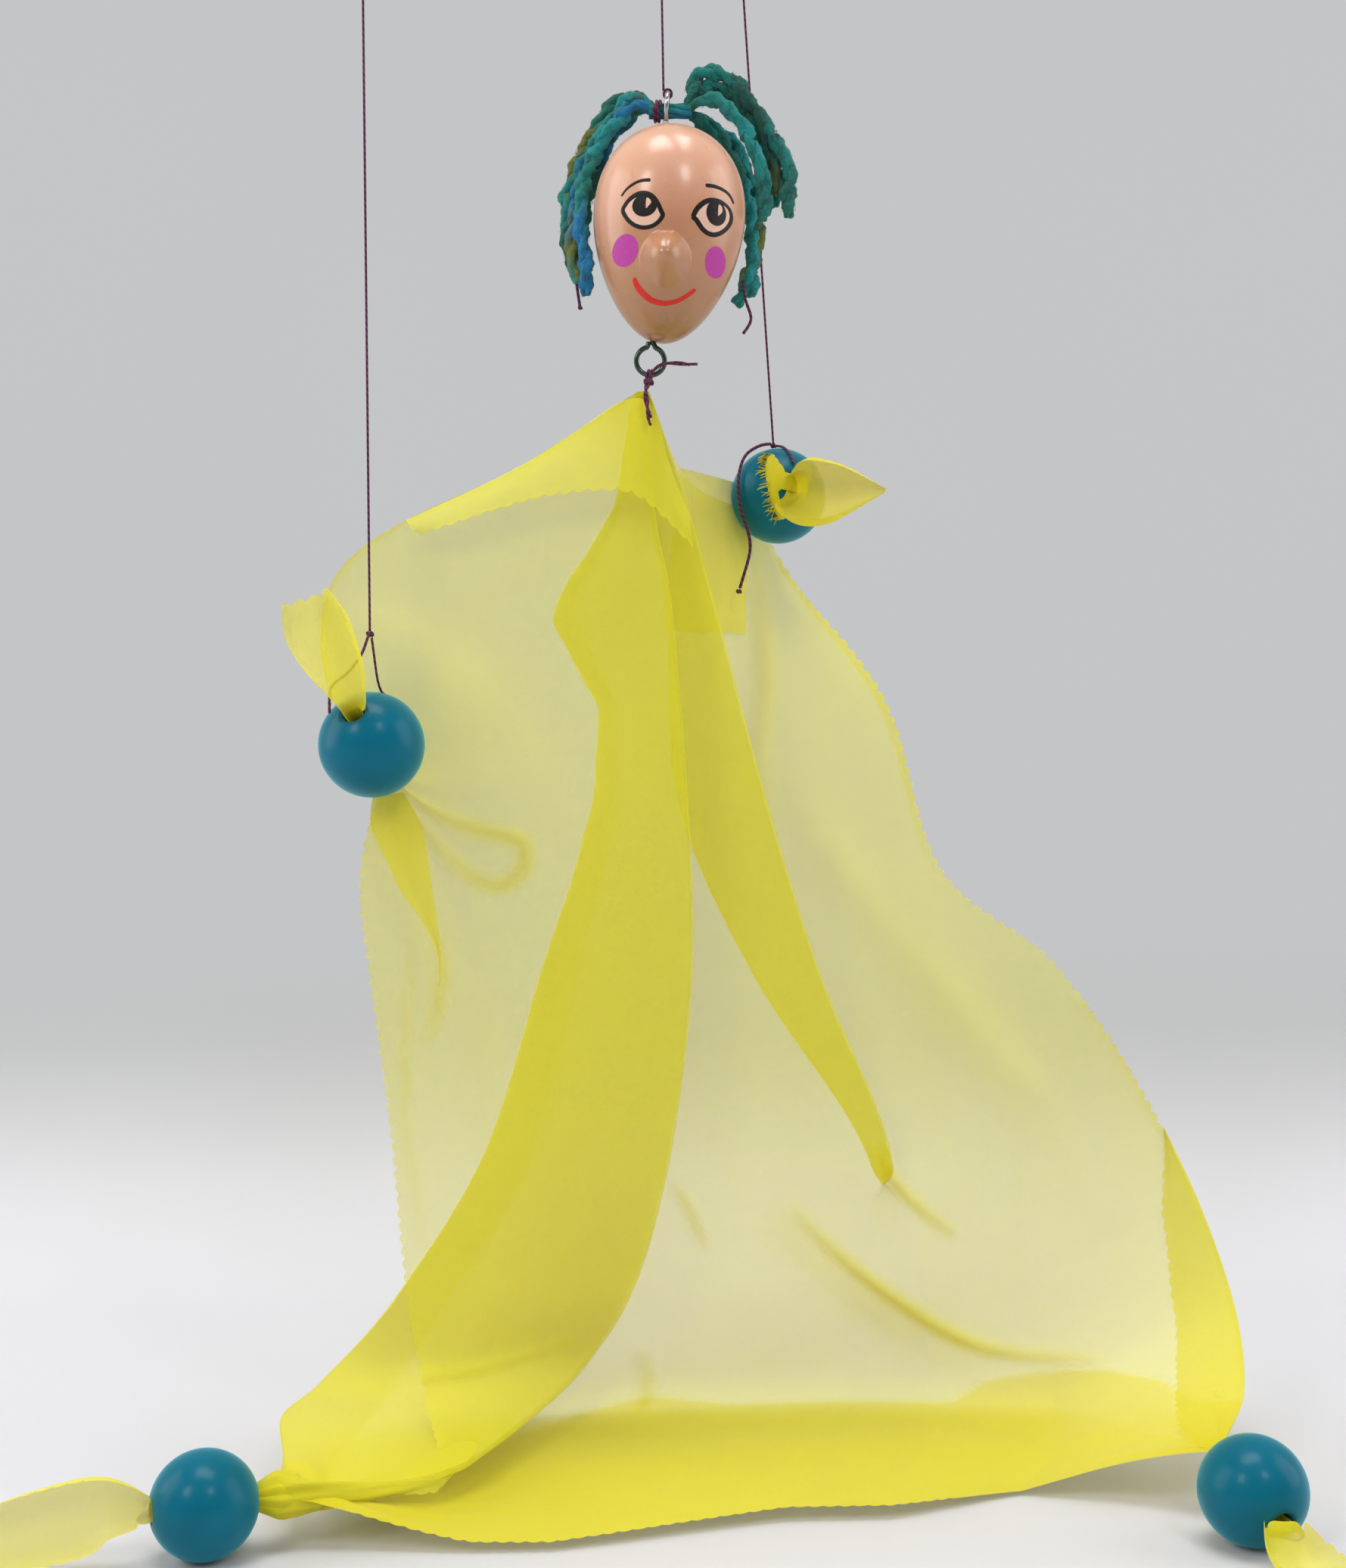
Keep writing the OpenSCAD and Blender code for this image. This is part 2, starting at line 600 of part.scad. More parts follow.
// Each leg of the path: from line, layers behind it, to line, layers behind it,
// places between the two, and how far the cloth sags between them
legs = [[left_edge, 0, pleat_a_front, 0, 3, 5],
        [pleat_a_front, 1, pleat_a_back, 0, 2, 0],
        [pleat_a_back, 1, left_tuck, 0, 1, 0],
        [left_tuck, 0, left_low, 0, 1, 0],
        [left_low, 0, middle_line, 0, 1, 0],
        [middle_line, 0, pleat_b_front, 0, 2, 0],
        [pleat_b_front, 1, pleat_b_back, 0, 1, 0],
        [pleat_b_back, 1, right_line, 0, 2, 0],
        [right_line, 0, right_edge, 0, 2, 0]];

// A layer lies behind the one before where the cloth hangs, and below it on the table
function behind(line, s, layers) =
    let (run = spline(line, min(len(line) - 1, s + 0.4)) - spline(line, max(0, s - 0.4)))
    layers * pleat_gap * spline(gaps, s) * unit([0, -run[2], run[1]]);
function leg_at(leg, s, t) =
    mix(spline(leg[0], s) + behind(leg[0], s, leg[1]), spline(leg[2], s) + behind(leg[2], s, leg[3]), t)
    + [0, 1, 0] * leg[5] * sin(180 * t) * sin(180 * min(1, s / (len(left_edge) - 1)));
// Where two legs meet without a fold, the first leaves their common place to the second
function runs_on(i) = i < len(legs) - 1 && legs[i + 1][1] == 0;
// A fold turns round a nose, as deep as half the way between its two layers
function nose_at(i, s) = let (p = leg_at(legs[i], s, 1), q = leg_at(legs[i + 1], s, 0))
    (p + q) / 2 + unit(p - leg_at(legs[i], s, 0.7)) * norm(q - p) / 2;
function sheet_row(s) = [for (i = [0 : len(legs) - 1]) each concat(
    [for (k = [0 : legs[i][4] - (runs_on(i) ? 1 : 0)]) leg_at(legs[i], s, k / legs[i][4])],
    i < len(legs) - 1 && !runs_on(i) ? [nose_at(i, s)] : [])];

// A closed sheet of the given thickness over a grid of points
module sheet(grid, t) {
    rows = len(grid);
    cols = len(grid[0]);
    function slope(i, j) = unit(cross(
        grid[wrap_end(i + 1, rows)][j] - grid[wrap_end(i - 1, rows)][j],
        grid[i][wrap_end(j + 1, cols)] - grid[i][wrap_end(j - 1, cols)]));
    face = [for (i = [0 : rows - 1], j = [0 : cols - 1]) grid[i][j] + t / 2 * slope(i, j)];
    back = [for (i = [0 : rows - 1], j = [0 : cols - 1]) grid[i][j] - t / 2 * slope(i, j)];
    n = rows * cols;
    skins = [for (i = [0 : rows - 2], j = [0 : cols - 2])
        let (a = i * cols + j, b = a + 1, c = a + cols, d = c + 1)
        each [[a, b, d], [a, d, c], [n + a, n + d, n + b], [n + a, n + c, n + d]]];
    down = [for (i = [0 : rows - 2]) let (a = i * cols, b = a + cols, c = a + cols - 1, d = c + cols)
        each [[a, b, n + b], [a, n + b, n + a], [c, n + d, d], [c, n + c, n + d]]];
    along = [for (j = [0 : cols - 2]) let (a = j, b = a + 1, c = (rows - 1) * cols + j, d = c + 1)
        each [[a, n + b, b], [a, n + a, n + b], [c, d, n + d], [c, n + d, n + c]]];
    polyhedron(concat(face, back), concat(skins, down, along));
}

// The strip above the neck, folded down over the front: its fold and its cut edge
collar_fold = [neck + [-86, -6, -54.6], neck + [-65, -6, -44.4], neck + [-45, -6, -30.6],
               neck + [-27, -6, -17.6], neck + [-6.6, -5.8, -5.4], neck + [0.8, -6, -9.6],
               neck + [5.6, -5.6, -26.6], neck + [11, -4, -41]];
collar_edge = [neck + [-85.6, -7.6, -57.6], neck + [-66, -8.4, -47.6], neck + [-45, -9.4, -39.4],
               neck + [-28, -10, -35.6], neck + [-10, -10.4, -34.6], neck + [-1.4, -9.6, -38],
               neck + [7, -8.2, -46], neck + [12, -6.4, -51]];

function strip_grid(fold, edge, rows, cols, sag) = [for (i = [0 : rows]) [for (j = [0 : cols])
    let (t = j * (len(fold) - 1) / cols, f = i / rows)
    mix(spline(fold, t), spline(edge, t), f) + [0, sag * sin(180 * f), 0]]];

// The cloth's gathers behind a bead, from its hole to where the open cloth begins
module gather(at, way, side, reach, spread) {
    w = unit(way);
    puff([[at - w * 1.5, 2.7, 2.7], [at + w * reach * 0.4, spread * 0.65, 3.8],
          [at + w * reach, spread, 2.6]], side, 5, 8);
}

module robe() {
    last = len(left_edge) - 1;
    color(chiffon) hung() {
        sheet([for (i = [0 : robe_rows]) sheet_row(i * last / robe_rows)], cloth_t);
        sheet(strip_grid(collar_fold, collar_edge, 2, 12, -1), cloth_t);
    }
}

main_bar();
cross_bar();
cross_screw();
head_string();
head_string_stop();
head_string_knot();
left_hand_string();
left_hand_string_stop();
left_hand_loop();
left_hand_knot();
right_hand_string();
right_hand_string_stop();
right_hand_loop();
right_hand_tail();
head();
top_screw_eye();
neck_screw_eye();
hair_bundle();
hair_tie();
hair_left();
hair_right();
hair_back();
hair_left_thread();
hair_right_thread();
neck_tie();
robe();
left_hand_bead();
left_hand_cloth();
right_hand_bead();
right_hand_cloth();
left_foot_bead();
left_foot_cloth();
right_foot_bead();
right_foot_cloth();
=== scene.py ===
"""A scarf marionette, dressed for its picture.

The frame gives the control, strings, head, beads and robe as plain solids.
This file puts the real surfaces on them: a painted egg head, yarn hair,
twisted thread, lacquered beads and one pinked square of chiffon. Lengths in
the classes are millimetres above the table, as in the part's source; metres()
turns them into the shared frame, whose origin is the middle of the control.
"""

from __future__ import annotations

import json
import logging
import math
from dataclasses import dataclass, field
from enum import Enum
from typing import Callable, Optional, Sequence

import bpy
import numpy as np
from mathutils import Matrix

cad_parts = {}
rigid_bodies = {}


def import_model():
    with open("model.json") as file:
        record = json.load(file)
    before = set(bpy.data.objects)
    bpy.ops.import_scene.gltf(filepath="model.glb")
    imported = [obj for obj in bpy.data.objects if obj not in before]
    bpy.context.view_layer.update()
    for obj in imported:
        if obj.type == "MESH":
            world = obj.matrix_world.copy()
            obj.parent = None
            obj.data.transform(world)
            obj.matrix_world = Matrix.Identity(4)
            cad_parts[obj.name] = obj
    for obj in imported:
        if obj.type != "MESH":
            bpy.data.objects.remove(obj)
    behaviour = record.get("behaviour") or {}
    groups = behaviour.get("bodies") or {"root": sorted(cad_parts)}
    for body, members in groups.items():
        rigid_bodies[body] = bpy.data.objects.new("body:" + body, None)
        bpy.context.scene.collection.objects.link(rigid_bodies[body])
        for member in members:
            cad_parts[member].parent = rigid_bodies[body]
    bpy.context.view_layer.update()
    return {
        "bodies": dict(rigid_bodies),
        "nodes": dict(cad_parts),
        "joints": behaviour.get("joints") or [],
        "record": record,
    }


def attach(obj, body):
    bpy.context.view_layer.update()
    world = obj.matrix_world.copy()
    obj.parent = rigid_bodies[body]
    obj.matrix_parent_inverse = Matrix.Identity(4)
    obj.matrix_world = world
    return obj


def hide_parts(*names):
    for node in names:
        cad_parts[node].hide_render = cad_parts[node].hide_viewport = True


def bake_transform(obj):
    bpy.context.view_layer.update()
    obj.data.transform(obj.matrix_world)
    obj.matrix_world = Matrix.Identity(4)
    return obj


LOG = logging.getLogger("marionette")
Array = np.ndarray
Places = Sequence[Sequence[float]]
CONTROL_TURN = math.radians(23)
CONTROL_HIGH = 494.0
AHEAD = np.array([math.sin(CONTROL_TURN), -math.cos(CONTROL_TURN), 0])
ACROSS = np.array([math.cos(CONTROL_TURN), math.sin(CONTROL_TURN), 0])
MIDDLE = np.array([-12.5 * AHEAD[0], -12.5 * AHEAD[1], CONTROL_HIGH])
FLOOR = -CONTROL_HIGH / 1000
NO_EDGE = 99.0


# Curves and grids of points --------------------------------------------------


def metres(places: Places) -> Array:
    """Places in the shared frame, in metres, from millimetres above the table."""
    return (np.asarray(places, float) - MIDDLE) / 1000


def unit(vectors: Array) -> Array:
    """Vectors of length one along the last axis."""
    vectors = np.asarray(vectors, float)
    return vectors / np.maximum(np.linalg.norm(vectors, axis=-1, keepdims=True), 1e-12)


def through(places: Places, where: Array) -> Array:
    """Catmull-Rom curve: each stretch is the cubic whose slope at a place is half the way between its neighbours.

    Args:
        places: the places that the curve meets.
        where: positions along it, counted in places.

    Returns:
        One point per position.
    """
    p = np.asarray(places, float)
    if p.ndim == 1:
        p = p[:, None]
    i = np.clip(np.floor(where).astype(int), 0, len(p) - 2)
    f = (where - i)[:, None]
    a, b, c, d = p[np.maximum(i - 1, 0)], p[i], p[i + 1], p[np.minimum(i + 2, len(p) - 1)]
    return 0.5 * (2 * b + (c - a) * f + (2 * a - 5 * b + 4 * c - d) * f**2 + (3 * b - a - 3 * c + d) * f**3)


def evenly(places: Places, step: float) -> Array:
    """The same curve with points at equal distances of about step."""
    dense = through(places, np.linspace(0, len(places) - 1, 60 * len(places)))
    run = np.concatenate([[0], np.cumsum(np.linalg.norm(np.diff(dense, axis=0), axis=1))])
    at = np.linspace(0, run[-1], max(4, int(round(run[-1] / step)) + 1))
    return np.stack([np.interp(at, run, dense[:, k]) for k in range(3)], axis=1)


def length_along(path: Array) -> Array:
    """Distance from the start of a path to each of its points."""
    return np.concatenate([[0], np.cumsum(np.linalg.norm(np.diff(path, axis=0), axis=1))])


def frame_along(path: Array) -> tuple[Array, Array]:
    """Two directions across a path: its run crossed with the one fixed direction that it follows
    least, and the cross of the run with that."""
    run = unit(np.gradient(path, axis=0))
    least = np.linalg.svd(run, full_matrices=True)[2][-1]
    side = unit(np.cross(run, least))
    return side, np.cross(run, side)


def rings(path: Array, radius: Array | float, side: Array, up: Array, sides: int = 8) -> Array:
    """Rings round a path: place plus radius times (cosine of the angle along side, sine of it along up).

    Args:
        path: the middle of the rings.
        radius: one radius, or one per place.
        side: the first direction, one per place.
        up: the second direction, one per place.
        sides: points in a ring.

    Returns:
        Points, rings by sides by three.
    """
    angle = np.linspace(0, 2 * np.pi, sides, endpoint=False)[None, :, None]
    reach = np.broadcast_to(radius, len(path))[:, None, None]
    return path[:, None] + reach * (np.cos(angle) * side[:, None] + np.sin(angle) * up[:, None])


def tube_grid(path: Array, radius: Array | float, sides: int) -> Array:
    """Rings square to a path."""
    return rings(path, radius, *frame_along(path), sides)


def slopes(grid: Array) -> Array:
    """Unit normals of a grid of points, on the side that its faces show: the cross of its runs over and down."""
    return unit(np.cross(np.gradient(grid, axis=1), np.gradient(grid, axis=0)))


def eased(value: Array) -> Array:
    """Three v squared less two v cubed, v held between zero and one."""
    v = np.clip(value, 0, 1)
    return v * v * (3 - 2 * v)


class Shell:
    """Collects the points and faces of one piece and makes its object."""

    def __init__(self) -> None:
        """Start with nothing."""
        self.points: list[Array] = []
        self.faces: list[list[int]] = []
        self.corners: list[Array] = []
        self.normals: list[Array] = []
        self.values: dict[str, list[Array]] = {}
        self.count = 0

    def add(
        self,
        grid: Array,
        wrap: bool = False,
        ends: bool = False,
        loop: bool = False,
        uv: Optional[tuple[Array, Array]] = None,
        keep: Optional[Array] = None,
        normals: Optional[Array] = None,
        **values: Array,
    ) -> "Shell":
        """Add a grid of points as four-sided faces.

        Args:
            grid: points in metres, rows by columns by three.
            wrap: the last column joins the first.
            ends: the first and the last row are closed.
            loop: the last row joins the first.
            uv: the two coordinates of each row and column, as flat arrays.
            keep: which faces are wanted, rows by columns of faces.
            normals: normals to show in place of the faces' own.
            values: one number or colour per point, by name.

        Returns:
            The shell itself.
        """
        rows, cols = grid.shape[:2]
        i, j = np.meshgrid(np.arange(rows if loop else rows - 1), np.arange(cols if wrap else cols - 1),
                           indexing="ij")
        if keep is not None:
            i, j = i[keep], j[keep]
        i, j = i.ravel(), j.ravel()
        i2, j2 = (i + 1) % rows, (j + 1) % cols
        quads = np.stack([i * cols + j, i * cols + j2, i2 * cols + j2, i2 * cols + j], axis=1) + self.count
        down, over = (np.arange(rows + 1.0), np.arange(cols + 1.0)) if uv is None else uv
        at = np.stack([np.stack([over[j], down[i]], 1), np.stack([over[j + 1], down[i]], 1),
                       np.stack([over[j + 1], down[i + 1]], 1), np.stack([over[j], down[i + 1]], 1)], axis=1)
        self.faces += quads.tolist()
        self.corners.append(at.reshape(-1, 2))
        if ends:
            first = (self.count + np.arange(cols)[::-1]).tolist()
            last = (self.count + (rows - 1) * cols + np.arange(cols)).tolist()
            self.faces += [first, last]
            self.corners.append(np.zeros((2 * cols, 2)))
        self.points.append(grid.reshape(-1, 3))
        if normals is not None:
            self.normals.append(normals.reshape(-1, 3))
        for name, value in values.items():
            self.values.setdefault(name, []).append(np.asarray(value, float).reshape(rows * cols, -1))
        self.count += rows * cols
        return self

    def tube(self, path: Array, radius: float, sides: int) -> "Shell":
        """Add a closed tube round a path in metres, its second coordinate running in millimetres."""
        run = length_along(path) * 1000
        uv = (np.append(run, run[-1]), np.arange(sides + 1.0) / sides)
        return self.add(tube_grid(path, radius, sides), wrap=True, ends=True, uv=uv)

    def piece(self, name: str, finish: bpy.types.Material, slot: str) -> bpy.types.Object:
        """Make the object, with smooth faces, its coordinates and its values.

        Args:
            name: name of the piece.
            finish: its material.
            slot: the record's material that it stands for; not used.

        Returns:
            The object, linked to the scene.
        """
        mesh = bpy.data.meshes.new(name)
        points = np.concatenate(self.points)
        mesh.from_pydata(points.tolist(), [], self.faces)
        mesh.polygons.foreach_set("use_smooth", np.ones(len(mesh.polygons), bool))
        layer = mesh.uv_layers.new(name="run")
        layer.data.foreach_set("uv", np.concatenate(self.corners).astype(np.float32).ravel())
        for key, parts in self.values.items():
            value = np.concatenate(parts)
            kind, word = {1: ("FLOAT", "value"), 3: ("FLOAT_VECTOR", "vector"),
                          4: ("FLOAT_COLOR", "color")}[value.shape[1]]
            mesh.attributes.new(key, kind, "POINT").data.foreach_set(word, value.astype(np.float32).ravel())
        mesh.materials.append(finish)
        mesh.update()
        if self.normals:
            mesh.normals_split_custom_set_from_vertices(np.concatenate(self.normals).tolist())
        thing = bpy.data.objects.new(name, mesh)
        bpy.context.scene.collection.objects.link(thing)
        return thing


# Shader maths ----------------------------------------------------------------


def maths(kind: str, turned: bool = False) -> Callable[..., "Value"]:
    """A method that adds a Math node of one kind to a value and up to one more input.

    Args:
        kind: operation of the node.
        turned: the other input comes first.

    Returns:
        The method.
    """

    def method(self: "Value", *other: object) -> "Value":
        """The node's output."""
        given = (*other, self) if turned else (self, *other)
        return self.graph.node("ShaderNodeMath", {"operation": kind}, dict(enumerate(given)))

    return method


class Value:
    """A shader socket that adds Math nodes when it stands in an expression."""

    def __init__(self, graph: "Graph", socket: bpy.types.NodeSocket) -> None:
        """Wrap a socket of the graph."""
        self.graph = graph
        self.socket = socket

    __add__ = __radd__ = maths("ADD")
    __mul__ = __rmul__ = maths("MULTIPLY")
    __sub__, __rsub__ = maths("SUBTRACT"), maths("SUBTRACT", turned=True)
    __pow__, __rpow__ = maths("POWER"), maths("POWER", turned=True)
    sine, size = maths("SINE"), maths("ABSOLUTE")
    above, largest, smallest = maths("GREATER_THAN"), maths("MAXIMUM"), maths("MINIMUM")

    def ramp(self, low: float, high: float) -> "Value":
        """Zero below low, one above high, straight between."""
        settings = {"interpolation_type": "LINEAR", "clamp": True}
        return self.graph.node("ShaderNodeMapRange", settings, {0: self, 1: low, 2: high, 3: 0.0, 4: 1.0})


class Graph:
    """The nodes of one material."""

    def __init__(self, name: str) -> None:
        """Make an empty material with its output."""
        self.material = bpy.data.materials.new(name)
        self.material.use_nodes = True
        self.tree = self.material.node_tree
        self.tree.nodes.clear()
        self.output = self.tree.nodes.new("ShaderNodeOutputMaterial")

    def node(self, kind: str, settings: Optional[dict] = None, given: Optional[dict] = None,
             out: int | str = 0) -> Value:
        """Add any node.

        Args:
            kind: type of the node.
            settings: its properties, set first; "stops" gives a ramp's places and colours.
            given: numbers, colours or values for its sockets, by name or number.
            out: which output is wanted.

        Returns:
            That output.
        """
        node = self.tree.nodes.new(kind)
        for name, value in (settings or {}).items():
            if name == "stops":
                while len(node.color_ramp.elements) < len(value):
                    node.color_ramp.elements.new(0.5)
                for stop, (place, colour) in zip(node.color_ramp.elements, value):
                    stop.position, stop.color = place, (*colour, 1)
            else:
                setattr(node, name, value)
        for name, value in (given or {}).items():
            socket = node.inputs[name]
            if isinstance(value, Value):
                self.tree.links.new(value.socket, socket)
            elif isinstance(value, tuple) and len(value) == 3 and socket.type == "RGBA":
                socket.default_value = (*value, 1)
            else:
                socket.default_value = value
        return Value(self, node.outputs[out])

    def blend(self, share: Value, first: object, second: object) -> Value:
        """Mix two colours by a share from zero to one."""
        settings = {"data_type": "RGBA", "blend_type": "MIX", "clamp_factor": True}
        return self.node("ShaderNodeMix", settings, {0: share, 6: first, 7: second}, out=2)

    def noise(self, scale: float, detail: float = 2.0, where: Optional[Value] = None, rough: float = 0.5) -> Value:
        """Noise from zero to one on Object coordinates, or where it is told."""
        where = where or self.node("ShaderNodeTexCoord", out="Object")
        return self.node("ShaderNodeTexNoise", {},
                         {"Vector": where, "Scale": scale, "Detail": detail, "Roughness": rough})

    def bump(self, height: Value, deep: float, strength: float = 1.0) -> Value:
        """A normal from a height of the given depth in metres."""
        return self.node("ShaderNodeBump", {}, {"Height": height, "Distance": deep, "Strength": strength})

    def parts(self, vector: Value) -> tuple[Value, Value, Value]:
        """The three coordinates of a vector."""
        first = self.node("ShaderNodeSeparateXYZ", {}, {0: vector})
        second, third = (Value(self, first.socket.node.outputs[number]) for number in (1, 2))
        return first, second, third

    def run(self) -> tuple[Value, Value]:
        """The piece's own two coordinates, across and along."""
        return self.parts(self.node("ShaderNodeUVMap", {"uv_map": "run"}))[:2]

    def place(self) -> tuple[Value, Value, Value]:
        """Object coordinates in metres, one by one."""
        return self.parts(self.node("ShaderNodeTexCoord", out="Object"))

    def attribute(self, name: str, out: str = "Fac") -> Value:
        """A value that the mesh carries."""
        return self.node("ShaderNodeAttribute", {"attribute_name": name}, out=out)

    def show(self, shader: Value) -> None:
        """Let the material end in this shader."""
        self.tree.links.new(shader.socket, self.output.inputs[0])

    def glow(self, share: Value, colour: object) -> Value:
        """The shader so far, mixed by a share with a glow of one colour, as the material's new end."""
        lit = Value(self, self.output.inputs[0].links[0].from_socket)
        light = self.node("ShaderNodeEmission", {}, {"Color": colour, "Strength": 1.0})
        both = self.node("ShaderNodeMixShader", {}, {0: share, 1: lit, 2: light})
        self.show(both)
        return both

    def surface(self, **given: object) -> bpy.types.Material:
        """Finish the material with a Principled shader.

        Args:
            given: socket values, with underscores for spaces.

        Returns:
            The material.
        """
        shader = self.node("ShaderNodeBsdfPrincipled", {}, {k.replace("_", " "): v for k, v in given.items()})
        self.show(shader)
        return self.material


# Finishes --------------------------------------------------------------------

Colour = tuple[float, float, float]


def shade(red: int, green: int, blue: int) -> Colour:
    """Linear colour of a screen colour."""
    return tuple(float(v) for v in ((np.array([red, green, blue]) / 255 + 0.055) / 1.055) ** 2.4)


@dataclass(frozen=True)
class Chiffon:
    """Thin crepe weave that lets light through, denser where it is gathered; there its colour turns deep, partly from
    the stacked yellow and partly as painted shade of the inner layers.
    """

    pale: Colour = shade(244, 238, 58)
    deep: Colour = shade(224, 208, 4)
    cover: float = 0.53
    tooth: float = 4.3
    cut: float = 1.1

    def material(self) -> bpy.types.Material:
        """Cover grows as one minus the open share to the power of the layers; the pinked edge is
        cut by a scalloped line."""
        g = Graph("chiffon")
        across, along = g.run()
        layers = g.attribute("layers")
        off = g.attribute("edge_off")
        beside = g.attribute("edge_run")
        threads = (across * 12.5).sine() * (along * 12.5).sine()
        slub = g.noise(900.0, 2.0)
        veil = g.noise(55.0, 3.0)
        open_share = (1 - self.cover) ** (layers * (0.94 + veil * 0.16))
        cover = 1 - open_share + threads * 0.02 + (slub - 0.5) * 0.05
        scallop = (1 - (beside * (math.pi / self.tooth)).sine().size()) * self.cut
        frayed = off + (g.noise(700.0, 1.0) - 0.5) * 0.5
        inside = frayed.above(scallop)
        # Painted shade: many layers, the creases' painted shade among them, make the colour deeper as well as denser.
        dense = layers.ramp(1.0, 3.2)
        colour = g.blend(dense, self.pale, self.deep)
        colour = g.blend((slub - 0.42).ramp(0.0, 0.5) * 0.25, colour, self.deep)
        height = threads * 0.22 + slub
        return g.surface(
            Base_Color=colour, Alpha=(cover * inside).smallest(0.985), Roughness=0.62, Normal=g.bump(height, 0.00006),
            Sheen_Weight=0.12, Sheen_Roughness=0.4, Specular_IOR_Level=0.25,
        )


@dataclass(frozen=True)
class EggPaint:
    """Satin skin-coloured paint on turned wood, with painted light on the crown, painted shade towards the chin and a
    painted brown shade between the eyes.
    """

    skin: Colour = shade(208, 149, 115)
    # painted light: the crown is painted lighter
    crown: Colour = shade(238, 184, 154)
    # a random warm tint of the paint, and the colour of the painted shade on the brow
    warm_tone_and_shade: Colour = shade(190, 122, 84)
    # painted shade: the lower face is painted darker towards the chin
    low: Colour = shade(154, 110, 62)
    brow: tuple[float, float, float] = (0.0058, -0.032, -0.121)

    def material(self) -> bpy.types.Material:
        """Two noises tint the skin; a painted shade fades with the distance from the brow, and the crown is painted
        light and the chin dark, as light falls from above.
        """
        g = Graph("skin_paint")
        x, _, z = g.place()
        cloud = g.noise(60.0, 3.0)
        fine = g.noise(160.0, 2.0)
        away = (((x - self.brow[0]) * 75.0) ** 2.0 + ((z - self.brow[2]) * 55.0) ** 2.0).smallest(1.0)
        # painted shade between the eyes, fading from the brow
        painted_brow_shade = (1 - away) * (0.25 + cloud * 0.5) * 0.55
        colour = g.blend((cloud - 0.35).ramp(0.0, 0.6) * 0.2 + painted_brow_shade, self.skin, self.warm_tone_and_shade)
        colour = g.blend(z.ramp(-0.124, -0.1) * 0.8, colour, self.crown)
        colour = g.blend((1 - z.ramp(-0.15, -0.119)) * 0.8, colour, self.low)
        height = cloud * 0.8 + fine * 0.2
        return g.surface(
            Base_Color=colour, Roughness=0.24 + fine * 0.1, Coat_Weight=0.35, Coat_Roughness=0.16,
            Normal=g.bump(height, 0.00016, 0.35),
        )


@dataclass(frozen=True)
class Ink:
    """A pen or brush colour laid on the face, thinner where the stroke was dry."""

    name: str
    colour: Colour
    rough: float = 0.4

    def material(self) -> bpy.types.Material:
        """Streaks of noise lighten the ink by a few hundredths."""
        g = Graph(self.name)
        streak = g.noise(1500.0, 3.0)
        lighter = tuple(min(1.0, c * 1.5 + 0.02) for c in self.colour)
        colour = g.blend((streak - 0.4).ramp(0.0, 0.5) * 0.4, self.colour, lighter)
        return g.surface(
            Base_Color=colour, Roughness=self.rough + streak * 0.1, Specular_IOR_Level=0.25,
            Normal=g.bump(streak, 0.00001),
        )


@dataclass(frozen=True)
class Lacquer:
    """Satin turquoise lacquer on a wooden bead, darker and rougher round and inside the bore."""

    blue: Colour = shade(0, 106, 130)
    dark: Colour = shade(0, 56, 74)

    def material(self) -> bpy.types.Material:
        """The tint follows a slow noise and the carried rim value."""
        g = Graph("bead_lacquer")
        cloud = g.noise(45.0, 2.0)
        dust = g.noise(2600.0, 1.0)
        rim = g.attribute("rim")
        colour = g.blend((cloud - 0.35).ramp(0.0, 0.5) * 0.35 + rim * 0.6, self.blue, self.dark)
        return g.surface(
            Base_Color=colour, Roughness=0.3 + dust.ramp(0.62, 0.75) * 0.2 + rim * 0.2, Specular_IOR_Level=0.12,
            Coat_Weight=0.06, Coat_Roughness=0.12, Normal=g.bump(cloud + dust * 0.05, 0.00015, 0.35),
            Sheen_Weight=0.6, Sheen_Roughness=0.35, Sheen_Tint=(0.02, 0.7, 0.85, 1.0),
        )


@dataclass(frozen=True)
class Nickel:
    """Bright plated steel wire with fine drawing marks."""

    bright: Colour = (0.62, 0.62, 0.60)
    dull: Colour = (0.34, 0.35, 0.34)
    dark: Colour = (0.03, 0.055, 0.04)

    def material(self) -> bpy.types.Material:
        """Marks run along the wire's own second coordinate; tarnish is a coarse noise; the lower screw eye under the
        head is painted almost black as painted shade.
        """
        g = Graph("plated_wire")
        across, along = g.run()
        spot = g.noise(160.0, 2.0)
        marks = g.node("ShaderNodeCombineXYZ", {}, {0: across * 60.0, 1: along * 0.6, 2: 0.0})
        drawn = g.noise(1.0, 2.0, marks)
        colour = g.blend(spot.ramp(0.5, 0.75), self.bright, self.dull)
        # painted shade: the wire is painted dark below the head
        low = 1 - g.place()[2].ramp(-0.15, -0.12)
        colour = g.blend(low * (0.94 - spot.ramp(0.6, 0.8) * 0.5), colour, self.dark)
        return g.surface(
            Base_Color=colour, Metallic=1.0, Roughness=0.12 + spot * 0.14, Normal=g.bump(drawn, 0.000006, 0.3),
        )


